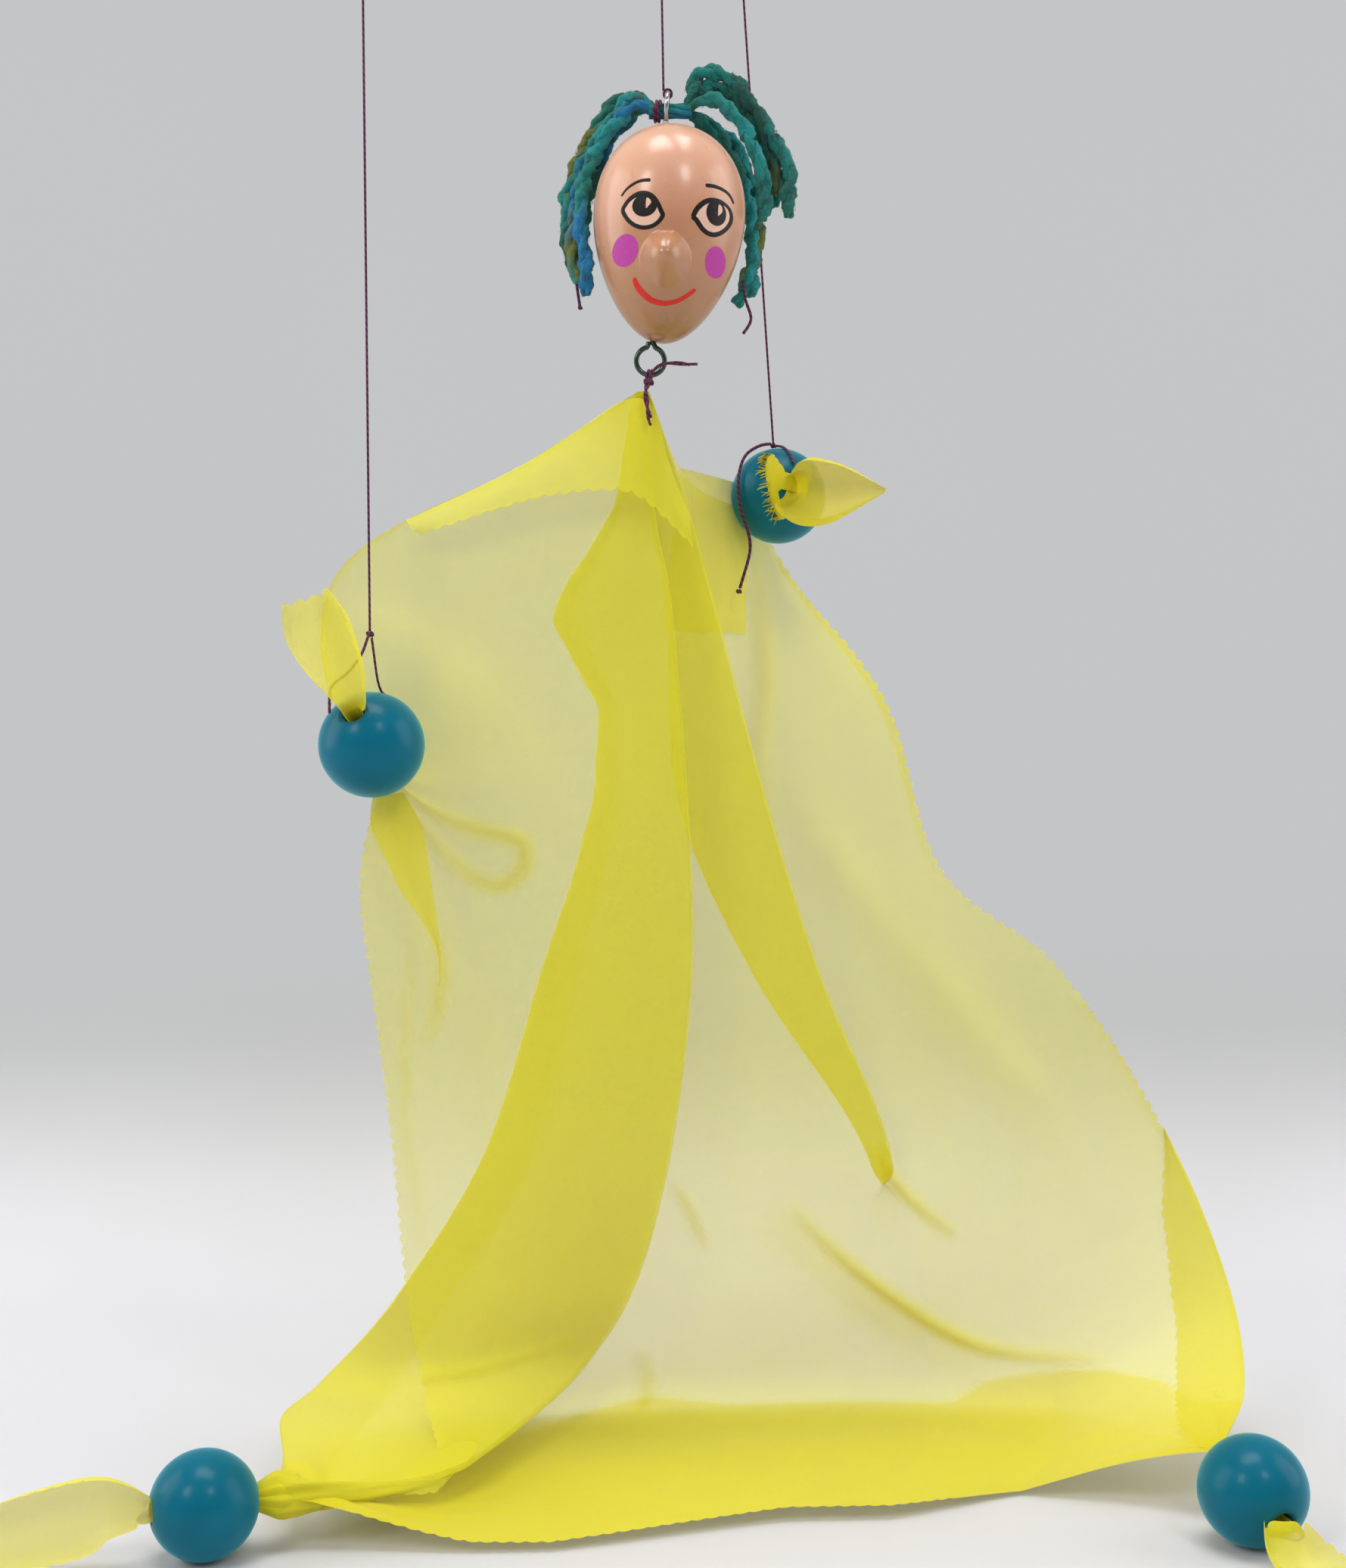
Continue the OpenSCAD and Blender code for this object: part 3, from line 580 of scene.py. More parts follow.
@dataclass(frozen=True)
class Yarn:
    """Hand-dyed wool ply: fibres lie in a slant round it, and its dye is carried by the mesh."""

    def material(self) -> bpy.types.Material:
        """Fibre streaks are noise stretched along a slanted pair of the ply's coordinates."""
        g = Graph("wool_yarn")
        across, along = g.run()
        slant = g.node("ShaderNodeCombineXYZ", {}, {0: across * 9.0 + along * 1.3, 1: along * 0.7, 2: 0.0})
        fibre = g.noise(2.2, 4.0, slant, 0.65)
        dye = g.attribute("dye", "Color")
        colour = g.blend(fibre.ramp(0.35, 0.8) * 0.45, dye, (0.003, 0.03, 0.03))
        colour = g.blend((1 - fibre.ramp(0.2, 0.42)) * 0.3, colour, (0.1, 0.5, 0.5))
        felt = g.noise(900.0, 5.0, rough=0.7)
        clump = g.noise(210.0, 3.0)
        colour = g.blend(clump.ramp(0.48, 0.68) * 0.6, colour, (0.004, 0.07, 0.065))
        colour = g.blend((1 - felt.ramp(0.3, 0.48)) * 0.35, colour, (0.02, 0.36, 0.36))
        return g.surface(
            Base_Color=colour, Roughness=0.95, Normal=g.bump(felt + fibre * 0.4, 0.0013, 1.0), Sheen_Weight=0.2,
            Sheen_Roughness=0.6, Specular_IOR_Level=0.08,
        )


@dataclass(frozen=True)
class Thread:
    """Two-ply buttonhole thread, waxed a little."""

    dark: Colour = shade(52, 14, 40)
    light: Colour = shade(122, 44, 92)

    def material(self) -> bpy.types.Material:
        """A sine of (turns round plus run along) makes the two plies; its dark is painted shade in the groove between
        them, and its light is painted light on their crowns.
        """
        g = Graph("purple_thread")
        across, along = g.run()
        ply = ((across * (4 * math.pi)) + along * 3.4).sine() * 0.5 + 0.5
        hair = g.noise(2400.0, 2.0)
        # painted shade in the ply groove, painted light on the ply crowns
        colour = g.blend(ply * 0.75 + (hair - 0.5) * 0.5, self.dark, self.light)
        return g.surface(
            Base_Color=colour, Roughness=0.6, Normal=g.bump(ply + hair * 0.3, 0.00018), Sheen_Weight=0.15,
            Specular_IOR_Level=0.3,
        )


@dataclass(frozen=True)
class Beech:
    """Sanded beech under thin varnish; the grain runs along one direction."""

    name: str
    grain: tuple[float, float, float]
    early: Colour = shade(222, 186, 142)
    late: Colour = shade(190, 146, 100)

    def material(self) -> bpy.types.Material:
        """Rings are a sine of the distance across the grain bent by noise; flecks are stretched noise."""
        g = Graph(self.name)
        where = g.node("ShaderNodeTexCoord", out="Object")
        turn = math.atan2(self.grain[1], self.grain[0])
        laid = g.node("ShaderNodeMapping", {"vector_type": "TEXTURE"},
                      {"Vector": where, "Rotation": (0.0, 0.0, turn)})
        long = g.node("ShaderNodeVectorMath", {"operation": "MULTIPLY"}, {0: laid, 1: (0.06, 1.0, 1.0)})
        bend = g.noise(90.0, 3.0, long)
        rings = ((g.parts(laid)[1] * 1500.0) + bend * 9.0).sine() * 0.5 + 0.5
        fleck = g.noise(1400.0, 2.0, long)
        colour = g.blend(rings * 0.6 + fleck.ramp(0.55, 0.8) * 0.5, self.early, self.late)
        return g.surface(
            Base_Color=colour, Roughness=0.42 + fleck * 0.15, Coat_Weight=0.15, Coat_Roughness=0.3,
            Normal=g.bump(rings * 0.4 + fleck, 0.00006),
        )


@dataclass(frozen=True)
class Brass:
    """Turned brass, handled dull."""

    def material(self) -> bpy.types.Material:
        """Tarnish is a noise between two brass colours."""
        g = Graph("screw_brass")
        spot = g.noise(600.0, 3.0)
        colour = g.blend(spot.ramp(0.45, 0.7), (0.78, 0.53, 0.2), (0.45, 0.3, 0.12))
        return g.surface(Base_Color=colour, Metallic=1.0, Roughness=0.22 + spot * 0.2, Normal=g.bump(spot, 0.00002))


@dataclass(frozen=True)
class Finishes:
    """All finishes, made once."""

    chiffon: bpy.types.Material
    skin: bpy.types.Material
    black: bpy.types.Material
    inner: bpy.types.Material
    rouge: bpy.types.Material
    lips: bpy.types.Material
    lacquer: bpy.types.Material
    steel: bpy.types.Material
    yarn: bpy.types.Material
    thread: bpy.types.Material
    brass: bpy.types.Material

    @classmethod
    def made(cls) -> "Finishes":
        """Make every material."""
        return cls(
            chiffon=Chiffon().material(),
            skin=EggPaint().material(),
            black=Ink("black_ink", shade(20, 14, 12), 0.4).material(),
            inner=Ink("eye_paint", shade(236, 190, 168), 0.3).material(),
            rouge=Ink("cheek_paint", shade(186, 62, 158), 0.4).material(),
            lips=Ink("lip_paint", shade(214, 46, 34), 0.4).material(),
            lacquer=Lacquer().material(),
            steel=Nickel().material(),
            yarn=Yarn().material(),
            thread=Thread().material(),
            brass=Brass().material(),
        )


# Places shared by several classes --------------------------------------------

BEAD_RADIUS = 15.0


@dataclass(frozen=True)
class Bore:
    """A bead's middle and the way out of its bore on the loose corner's side."""

    middle: tuple[float, float, float]
    way: tuple[float, float, float]
    reach: float = BEAD_RADIUS + 0.3

    def front(self) -> Array:
        """Where the loose corner leaves the bore."""
        return np.array(self.middle) + unit(self.way) * self.reach

    def back(self) -> Array:
        """Where the robe enters the bore."""
        return np.array(self.middle) - unit(self.way) * self.reach


class Limb(Enum):
    """The four beads, by the body that carries each."""

    LEFT_HAND = "left_hand"
    RIGHT_HAND = "right_hand"
    LEFT_FOOT = "left_foot"
    RIGHT_FOOT = "right_foot"


BORES = {
    Limb.LEFT_HAND: Bore((-86, -20, 223.6), (-0.24, -0.74, 0.63)),
    Limb.RIGHT_HAND: Bore((34.3, 49, 301.8), (0.29, -0.94, 0.12)),
    Limb.LEFT_FOOT: Bore((-133.2, -37, 15), (-0.93, -0.36, 0)),
    Limb.RIGHT_FOOT: Bore((154.6, -40, 15), (0.29, -0.89, -0.34)),
}
NECK = np.array([-5.6, 0, 330.3])
LEAN = math.radians(4.7)


def on_head(places: Places) -> Array:
    """Places of the leaning head's own frame, which stands on its lower ring, above the table."""
    p = np.asarray(places, float)
    x = p[..., 0] * math.cos(LEAN) + p[..., 2] * math.sin(LEAN)
    z = p[..., 2] * math.cos(LEAN) - p[..., 0] * math.sin(LEAN)
    return NECK + np.stack([x, p[..., 1], z], axis=-1)


BUNDLE = on_head([0, 0, 79.3]) - [0, 0, 1.0]
TOP_WIRE = on_head([0, 0, 83.45])
LEFT_KNOT = np.array([-85.95, -20, 255.0])
RIGHT_TIE = np.array([33.0, 49, 317.8])
LEFT_HOLE = MIDDLE - 86 * ACROSS - [0, 0, 4]
RIGHT_HOLE = MIDDLE + 30 * ACROSS - [0, 0, 4]


def settle(piece: bpy.types.Object, body: str, *nodes: str) -> bpy.types.Object:
    """Let a piece ride on a body, in place of these frame nodes."""
    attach(piece, body)
    if nodes:
        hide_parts(*nodes)
    return piece


def dress(node: bpy.types.Object, finish: bpy.types.Material) -> None:
    """Give a frame node another material."""
    if node.material_slots:
        for slot in node.material_slots:
            slot.material = finish
    else:
        node.data.materials.append(finish)


# Room, camera and lamps ------------------------------------------------------


@dataclass
class Studio:
    """The table and wall, the camera where the photographer stood, and soft lamps."""

    table: float = 0.0
    wall_at: float = 317.0
    cove: float = 110.0
    seat: tuple[float, float, float] = (-0.75, -595.0, 211.0)
    roll: float = 1.0
    lens: float = 2680 / 2072 * 36
    table_tone: Colour = shade(216, 215, 219)
    wall_tone: Colour = shade(197, 198, 199)
    lit_tone: Colour = shade(232, 231, 234)

    def build_camera(self) -> None:
        """The camera looks along +Y, rolled one degree."""
        data = bpy.data.cameras.new("camera")
        data.lens, data.sensor_fit, data.sensor_width, data.sensor_height = self.lens, "AUTO", 36, 36
        data.clip_start, data.clip_end = 0.01, 20
        camera = bpy.data.objects.new("camera", data)
        camera.location = metres(self.seat).tolist()
        camera.rotation_euler = (math.pi / 2, math.radians(self.roll), 0)
        bpy.context.scene.collection.objects.link(camera)
        bpy.context.scene.camera = camera

    def build_sweep(self) -> None:
        """Table and wall as one swept sheet: flat, then a quarter circle, then upright.

        The wall and the far floor glow for the camera, so that lamps don't
        stain them; from behind, the camera looks through the wall.
        """
        turn = np.linspace(0, np.pi / 2, 24)
        y = np.concatenate([[-3000], self.wall_at + self.cove * (np.sin(turn) - 1) + 40, [self.wall_at + 40]])
        z = np.concatenate([[0], self.cove * (1 - np.cos(turn)), [3600]]) + self.table
        x = np.array([-4000.0, 4000.0])
        grid = np.stack(np.broadcast_arrays(x[None, :], y[:, None], z[:, None]), axis=-1)
        g = Graph("sweep")
        height = g.place()[2]
        tone = g.blend(height.ramp(FLOOR, FLOOR + 0.094), self.table_tone, self.wall_tone)
        paper = g.noise(4.0, 2.0)
        tone = g.blend(paper * 0.06, tone, (0.4, 0.4, 0.4))
        finish = g.surface(Base_Color=tone, Roughness=0.55, Specular_IOR_Level=0.2)
        x, y, height = g.place()
        far = (x * x + y * y).ramp(0.36, 1.0)
        glowing = g.blend(far * (1 - height.ramp(FLOOR, FLOOR + 0.044)), tone, self.lit_tone)
        rays = g.node("ShaderNodeLightPath", out="Is Camera Ray")
        mirror = Value(g, rays.socket.node.outputs["Is Glossy Ray"])
        share = rays.largest(mirror) * height.ramp(FLOOR + 0.034, FLOOR + 0.134).largest(far)
        both = g.glow(share, glowing)
        rear = g.node("ShaderNodeNewGeometry", out="Backfacing")
        clear = g.node("ShaderNodeBsdfTransparent")
        g.show(g.node("ShaderNodeMixShader", {}, {0: rear * rays, 1: both, 2: clear}))
        self.lay("sweep", grid, finish)

    def lay(self, name: str, grid: Array, finish: bpy.types.Material) -> None:
        """Put a sheet two points wide into the scene."""
        mesh = bpy.data.meshes.new(name)
        at = np.arange(len(grid) - 1) * 2
        mesh.from_pydata(metres(grid.reshape(-1, 3)).tolist(), [], np.stack([at, at + 1, at + 3, at + 2], 1).tolist())
        mesh.polygons.foreach_set("use_smooth", np.ones(len(at), bool))
        mesh.materials.append(finish)
        sheet = bpy.data.objects.new(name, mesh)
        bpy.context.scene.collection.objects.link(sheet)

    def build_ground(self) -> None:
        """A wide floor just under the table, which shows where the camera stands behind the wall."""
        g = Graph("ground")
        plain = g.surface(Base_Color=self.table_tone, Roughness=0.6)
        g.glow(g.node("ShaderNodeLightPath", out="Is Camera Ray"), self.lit_tone)
        side = np.array([-7000.0, 7000.0])
        grid = np.stack(np.broadcast_arrays(side[None, :], side[:, None], self.table - 0.6), axis=-1)
        self.lay("ground", grid, plain)

    def build_lamp(self, name: str, place: Sequence[float], aim: Sequence[float], wide: float, high: float,
                   watts: float) -> None:
        """A rectangular soft lamp in metres, aimed from its place at another."""
        data = bpy.data.lights.new(name, "AREA")
        data.shape, data.size, data.size_y, data.energy = "RECTANGLE", wide, high, watts
        lamp = bpy.data.objects.new(name, data)
        way = np.array(aim, float) - np.array(place, float)
        back = -unit(way)
        side = unit(np.cross([0, 0, 1.0], back))
        up = np.cross(back, side)
        lamp.matrix_world = Matrix([[side[k], up[k], back[k], place[k]] for k in range(3)] + [[0, 0, 0, 1]])
        bpy.context.scene.collection.objects.link(lamp)

    def build_world(self) -> None:
        """White light from everywhere, a little stronger where the camera looks straight at it."""
        world = bpy.data.worlds.new("room")
        world.use_nodes = True
        tree = world.node_tree
        sky = tree.nodes["Background"]
        sky.inputs[0].default_value = (1.0, 1.0, 1.0, 1)
        strength = tree.nodes.new("ShaderNodeMath")
        strength.operation = "MULTIPLY_ADD"
        strength.inputs[1].default_value, strength.inputs[2].default_value = 0.26, 0.3
        tree.links.new(tree.nodes.new("ShaderNodeLightPath").outputs["Is Camera Ray"], strength.inputs[0])
        tree.links.new(strength.outputs[0], sky.inputs[1])
        bpy.context.scene.world = world

    def build(self) -> None:
        """Set camera, sweep, ground, world and lamps."""
        self.build_camera()
        self.build_sweep()
        self.build_ground()
        self.build_world()
        self.build_lamp("window_left", (-0.75, -1.0, 0.55), (0, 0, -0.25), 0.3, 0.45, 4.5)
        self.build_lamp("window_right", (0.55, -1.1, 0.75), (0, 0, -0.25), 0.25, 0.4, 3.5)
        self.build_lamp("side_left", (-1.3, 0.12, 0.2), (0, 0, -0.25), 1.2, 1.2, 11)
        self.build_lamp("side_right", (1.3, 0.12, 0.2), (0, 0, -0.25), 1.2, 1.2, 9)
        self.build_lamp("ceiling", (0.0, -0.15, 1.3), (0, 0, -0.3), 1.0, 0.7, 15)
        bpy.context.scene.view_settings.view_transform = "Standard"


# Control ---------------------------------------------------------------------


class Control:
    """Two crossed beech sticks, a brass screw and three stop knots on top."""

    def dress(self, frame: dict, finishes: Finishes) -> None:
        """Give the sticks grain along their own length."""
        dress(frame["nodes"]["main_bar"], Beech("beech_main", tuple(AHEAD)).material())
        dress(frame["nodes"]["cross_bar"], Beech("beech_cross", tuple(ACROSS)).material())
        dress(frame["nodes"]["cross_screw"], finishes.brass)

    def build(self, frame: dict, finishes: Finishes) -> None:
        """Dress the sticks and tie the stop knots."""
        self.dress(frame, finishes)
        for name, at, body in (
            ("head_string_stop", np.array([0, 0, 498.0]), "control"),
            ("left_hand_string_stop", LEFT_HOLE + [0, 0, 4], "left_hand"),
            ("right_hand_string_stop", RIGHT_HOLE + [0, 0, 4], "right_hand"),
        ):
            settle(tied_knot(name + "_knot", at + [0, 0, 1.75], 1.55, 0.55, finishes), body, name)
        LOG.info("control dressed")


def tied_knot(name: str, middle: Array, big: float, thick: float, finishes: Finishes) -> bpy.types.Object:
    """A pulled-up overhand knot.

    The thread's middle runs on a trefoil: x is sin t + 2 sin 2t, y is
    cos t - 2 cos 2t, z is -sin 3t, each scaled to the knot's radius.

    Args:
        name: name of the piece.
        middle: its middle, in millimetres above the table.
        big: radius that the thread's middle keeps within.
        thick: radius of the thread.
        finishes: the finishes.

    Returns:
        The piece.
    """
    t = np.linspace(0, 2 * np.pi, 72, endpoint=False)
    path = np.stack([np.sin(t) + 2 * np.sin(2 * t), np.cos(t) - 2 * np.cos(2 * t), -1.6 * np.sin(3 * t)], 1) * big / 3
    run = unit(np.roll(path, -1, 0) - np.roll(path, 1, 0))
    side = unit(np.cross(run, path + [0, 0, 0.01]))
    grid = rings(path, thick, side, np.cross(run, side))
    shell = Shell().add(metres(grid + np.asarray(middle)), wrap=True, loop=True,
                        uv=(np.arange(74) * big * 0.16, np.arange(9) / 8))
    return shell.piece(name, finishes.thread, "thread")


# Strings and threads ---------------------------------------------------------


@dataclass
class Strings:
    """Three taut strings, the threads round the beads and the loose ends."""

    finishes: Finishes
    taut: float = 0.35
    loose: float = 0.5
    short: float = 0.42

    def cord(
        self,
        name: str,
        route: Array,
        radius: float,
        body: str,
        nodes: Sequence[str] = (),
        lay: str = "",
        end: str = "object",
        **more: object,
    ) -> bpy.types.Object:
        """One length of thread: a tube round its route.

        Args:
            name: name of the piece.
            route: its middle, in millimetres above the table.
            radius: its radius in millimetres.
            body: the body that it rides on.
            nodes: the frame nodes that it replaces.
            lay: how it lies; not used.
            end: what its far end is; not used.
            more: other facts for the declaration; not used.

        Returns:
            The piece.
        """
        path = metres(route)
        shell = Shell().tube(path, radius / 1000, 10)
        piece = settle(shell.piece(name, self.finishes.thread, "thread"), body, *nodes)
        return piece

    def wound(
        self,
        name: str,
        at: Array,
        way: Places,
        inner: float,
        turns: float,
        radius: float,
        body: str,
        nodes: Sequence[str] = (),
    ) -> bpy.types.Object:
        """Turns of thread wound side by side: a helix of the given inner radius and pitch of one thread.

        Args:
            name: name of the piece.
            at: its middle, in millimetres above the table.
            way: the direction that it runs along.
            inner: radius of what it is wound on.
            turns: number of turns.
            radius: radius of the thread.
            body: the body that it rides on.
            nodes: the frame nodes that it replaces.

        Returns:
            The piece.
        """
        way = unit(way)
        side = unit(np.cross(way, [0.3, 0.2, 0.93]))
        up = np.cross(way, side)
        t = np.linspace(0, 2 * np.pi * turns, int(28 * turns))[:, None]
        reach = inner + radius
        path = at + (t / (2 * np.pi) - turns / 2) * 2 * radius * way + reach * (np.cos(t) * side + np.sin(t) * up)
        out = unit(path - at - ((path - at) @ way)[:, None] * way)
        over = unit(np.cross(unit(np.gradient(path, axis=0)), out))
        grid = rings(path, radius, out, over)
        run = length_along(path)
        shell = Shell().add(metres(grid), wrap=True, ends=True, uv=(np.append(run, run[-1]), np.arange(9) / 8))
        return settle(shell.piece(name, self.finishes.thread, "thread"), body, *nodes)

    def touching(self, bead: Limb, way: Places) -> Array:
        """Where a thread lies on a bead, in the given way from its middle."""
        return np.array(BORES[bead].middle) + unit(way) * (BEAD_RADIUS + self.loose)

    def build_taut(self) -> None:
        """The three strings between the control and the puppet."""
        for part, body, top, low in (
            ("head", "control", [0, 0, 498.6], [0, 0, TOP_WIRE[2] + 0.95]),
            ("left_hand", "left_hand", LEFT_HOLE + [0, 0, 4.8], LEFT_KNOT + [0, 0, 0.8]),
            ("right_hand", "right_hand", RIGHT_HOLE + [0, 0, 4.8], RIGHT_TIE),
        ):
            self.cord(f"string_of_{part}", evenly([top, low], 2.0), self.taut, body, [f"{part}_string"], "taut")
        settle(tied_knot("knot_of_left_hand", LEFT_KNOT, 0.85, 0.42, self.finishes), "left_hand", "left_hand_knot")

    def build_left_loop(self) -> None:
        """The thread from the left knot round its bead, and the short end."""
        k, bead = LEFT_KNOT, Limb.LEFT_HAND
        over = [k + [0.5, 0, -1.0], k + [1.3, 0, -8], k + [2, -0.1, -13.2]]
        over += [self.touching(bead, way) for way in (
            [0.18, 0.1, 0.98], [0.22, 0.34, 0.92], [0.25, 0.6, 0.76], [0.28, 0.84, 0.46], [0.28, 0.96, 0.05],
            [0.26, 0.9, -0.35])]
        self.cord("loop_of_left_hand", evenly(over, 1.4), self.taut, "left_hand", ["left_hand_loop"], "loose")
        under = [k + [-0.6, -0.3, -1.0], k + [-2.2, -2.5, -6], k + [-5.5, -5, -11], k + [-9.2, -7.2, -14.2],
                 k + [-10.2, -8.6, -16.8], k + [-9.9, -11.5, -22.6]]
        self.cord("end_of_left_loop", evenly(under, 1.0), self.short, "left_hand", ["left_hand_loop"])

    def build_right_threads(self) -> None:
        """The thread round the right bead and its long loose end."""
        bead = Limb.RIGHT_HAND
        loop = [RIGHT_TIE + [0.4, -0.6, -0.1], self.touching(bead, [0.1, -0.3, 0.95]),
                self.touching(bead, [0.22, -0.62, 0.74]), self.touching(bead, [0.27, -0.8, 0.52])]
        self.cord("loop_of_right_hand", evenly(loop, 0.8), self.short, "right_hand", ["right_hand_loop"])
        settle(tied_knot("tie_of_right_hand", RIGHT_TIE, 0.7, 0.36, self.finishes), "right_hand", "right_hand_loop")
        middle = np.array(BORES[bead].middle)
        offsets = [[-2.3, -1.4, 16.4], [-5.7, -3.4, 15.6], [-9.8, -5.6, 12.9], [-11.9, -7, 9.1], [-13, -9.2, 3.6],
                   [-12.9, -10, -2], [-12, -10.4, -7], [-10.3, -10, -12], [-9.6, -9.6, -16], [-10, -9.6, -20],
                   [-11.5, -10, -25], [-13.1, -10.4, -30]]
        knot = tied_knot("knot_of_long_end", middle + [-13.4, -10.5, -31], 0.62, 0.4, self.finishes)
        settle(knot, "right_hand")
        self.cord("long_end_of_right_hand", evenly(middle + np.array(offsets), 1.6), self.loose, "right_hand",
                  ["right_hand_tail"], "hanging", "knot", with_pieces=[knot])

    def build_head_ties(self) -> None:
        """Turns on the top ring and the hair, and the loose ends in the hair."""
        self.wound("turns_on_top_ring", TOP_WIRE, [0, 1, 0], 0.8, 3, self.taut, "head", ["head_string_knot"])
        self.wound("turns_on_hair", BUNDLE + [-2.75, 0, 0], [1, 0, 0], 2.35, 2, self.loose, "head", ["hair_tie"])
        for side, route in (
            ("left", [[-27.9, 1.9, -46], [-27.3, 1.7, -51], [-26.6, 1.6, -56.4]]),
            ("right", [[21.7, 10.3, -47.8], [22.4, 7, -54], [23.8, 4.4, -60.4], [21.4, 3.6, -64.8]]),
        ):
            self.cord(f"end_in_{side}_hair", evenly(BUNDLE + np.array(route), 0.8), 0.45, "head",
                      [f"hair_{side}_thread"])
        settle(tied_knot("knot_in_left_hair", BUNDLE + [-26.5, 1.6, -56.8], 0.45, 0.34, self.finishes), "head")

    def build_neck_tie(self) -> None:
        """The thread that ties the robe to the lower ring, twisted, with four ends."""
        wire = on_head([0, 0, 0.75])
        self.wound("turns_on_neck_ring", wire, [1, 0, 0], 0.8, 2, self.loose, "head")
        knot = tied_knot("knot_of_neck_tie", NECK + [-0.2, -3.2, -1.9], 1.15, 0.55, self.finishes)
        settle(knot, "neck", "neck_tie")
        down = np.array([[-0.4, -3.2, -2], [-1.0, -7.6, -6], [-0.6, -9.2, -10.5], [0.3, -10.4, -15.6]])
        away = np.array([[0, -2.9, -1], [1.4, -4.5, 1.3], [4, -5.6, 2.7], [8, -5.8, 2.9], [14, -5.8, 2.1]])
        for name, offsets, spread in (("low", down, 0.42), ("side", away, 0.4)):
            for number, sign in enumerate((-1, 1)):
                path = evenly(NECK + offsets, 0.7)
                side, up = frame_along(path)
                run = length_along(path)[:, None]
                part = 0.25 + 0.75 * np.linspace(0, 1, len(path))[:, None] ** 2 if name == "side" else 1.0
                path = path + sign * spread * part * (np.cos(run * 0.55) * side + np.sin(run * 0.55) * up)
                self.cord(f"{name}_end_{number}_of_neck_tie", path[: len(path) - 3 * number], self.short, "neck")

    def build(self) -> None:
        """Make every thread."""
        self.build_taut()
        self.build_left_loop()
        self.build_right_threads()
        self.build_head_ties()
        self.build_neck_tie()
        LOG.info("strings and threads made")


# Head ------------------------------------------------------------------------


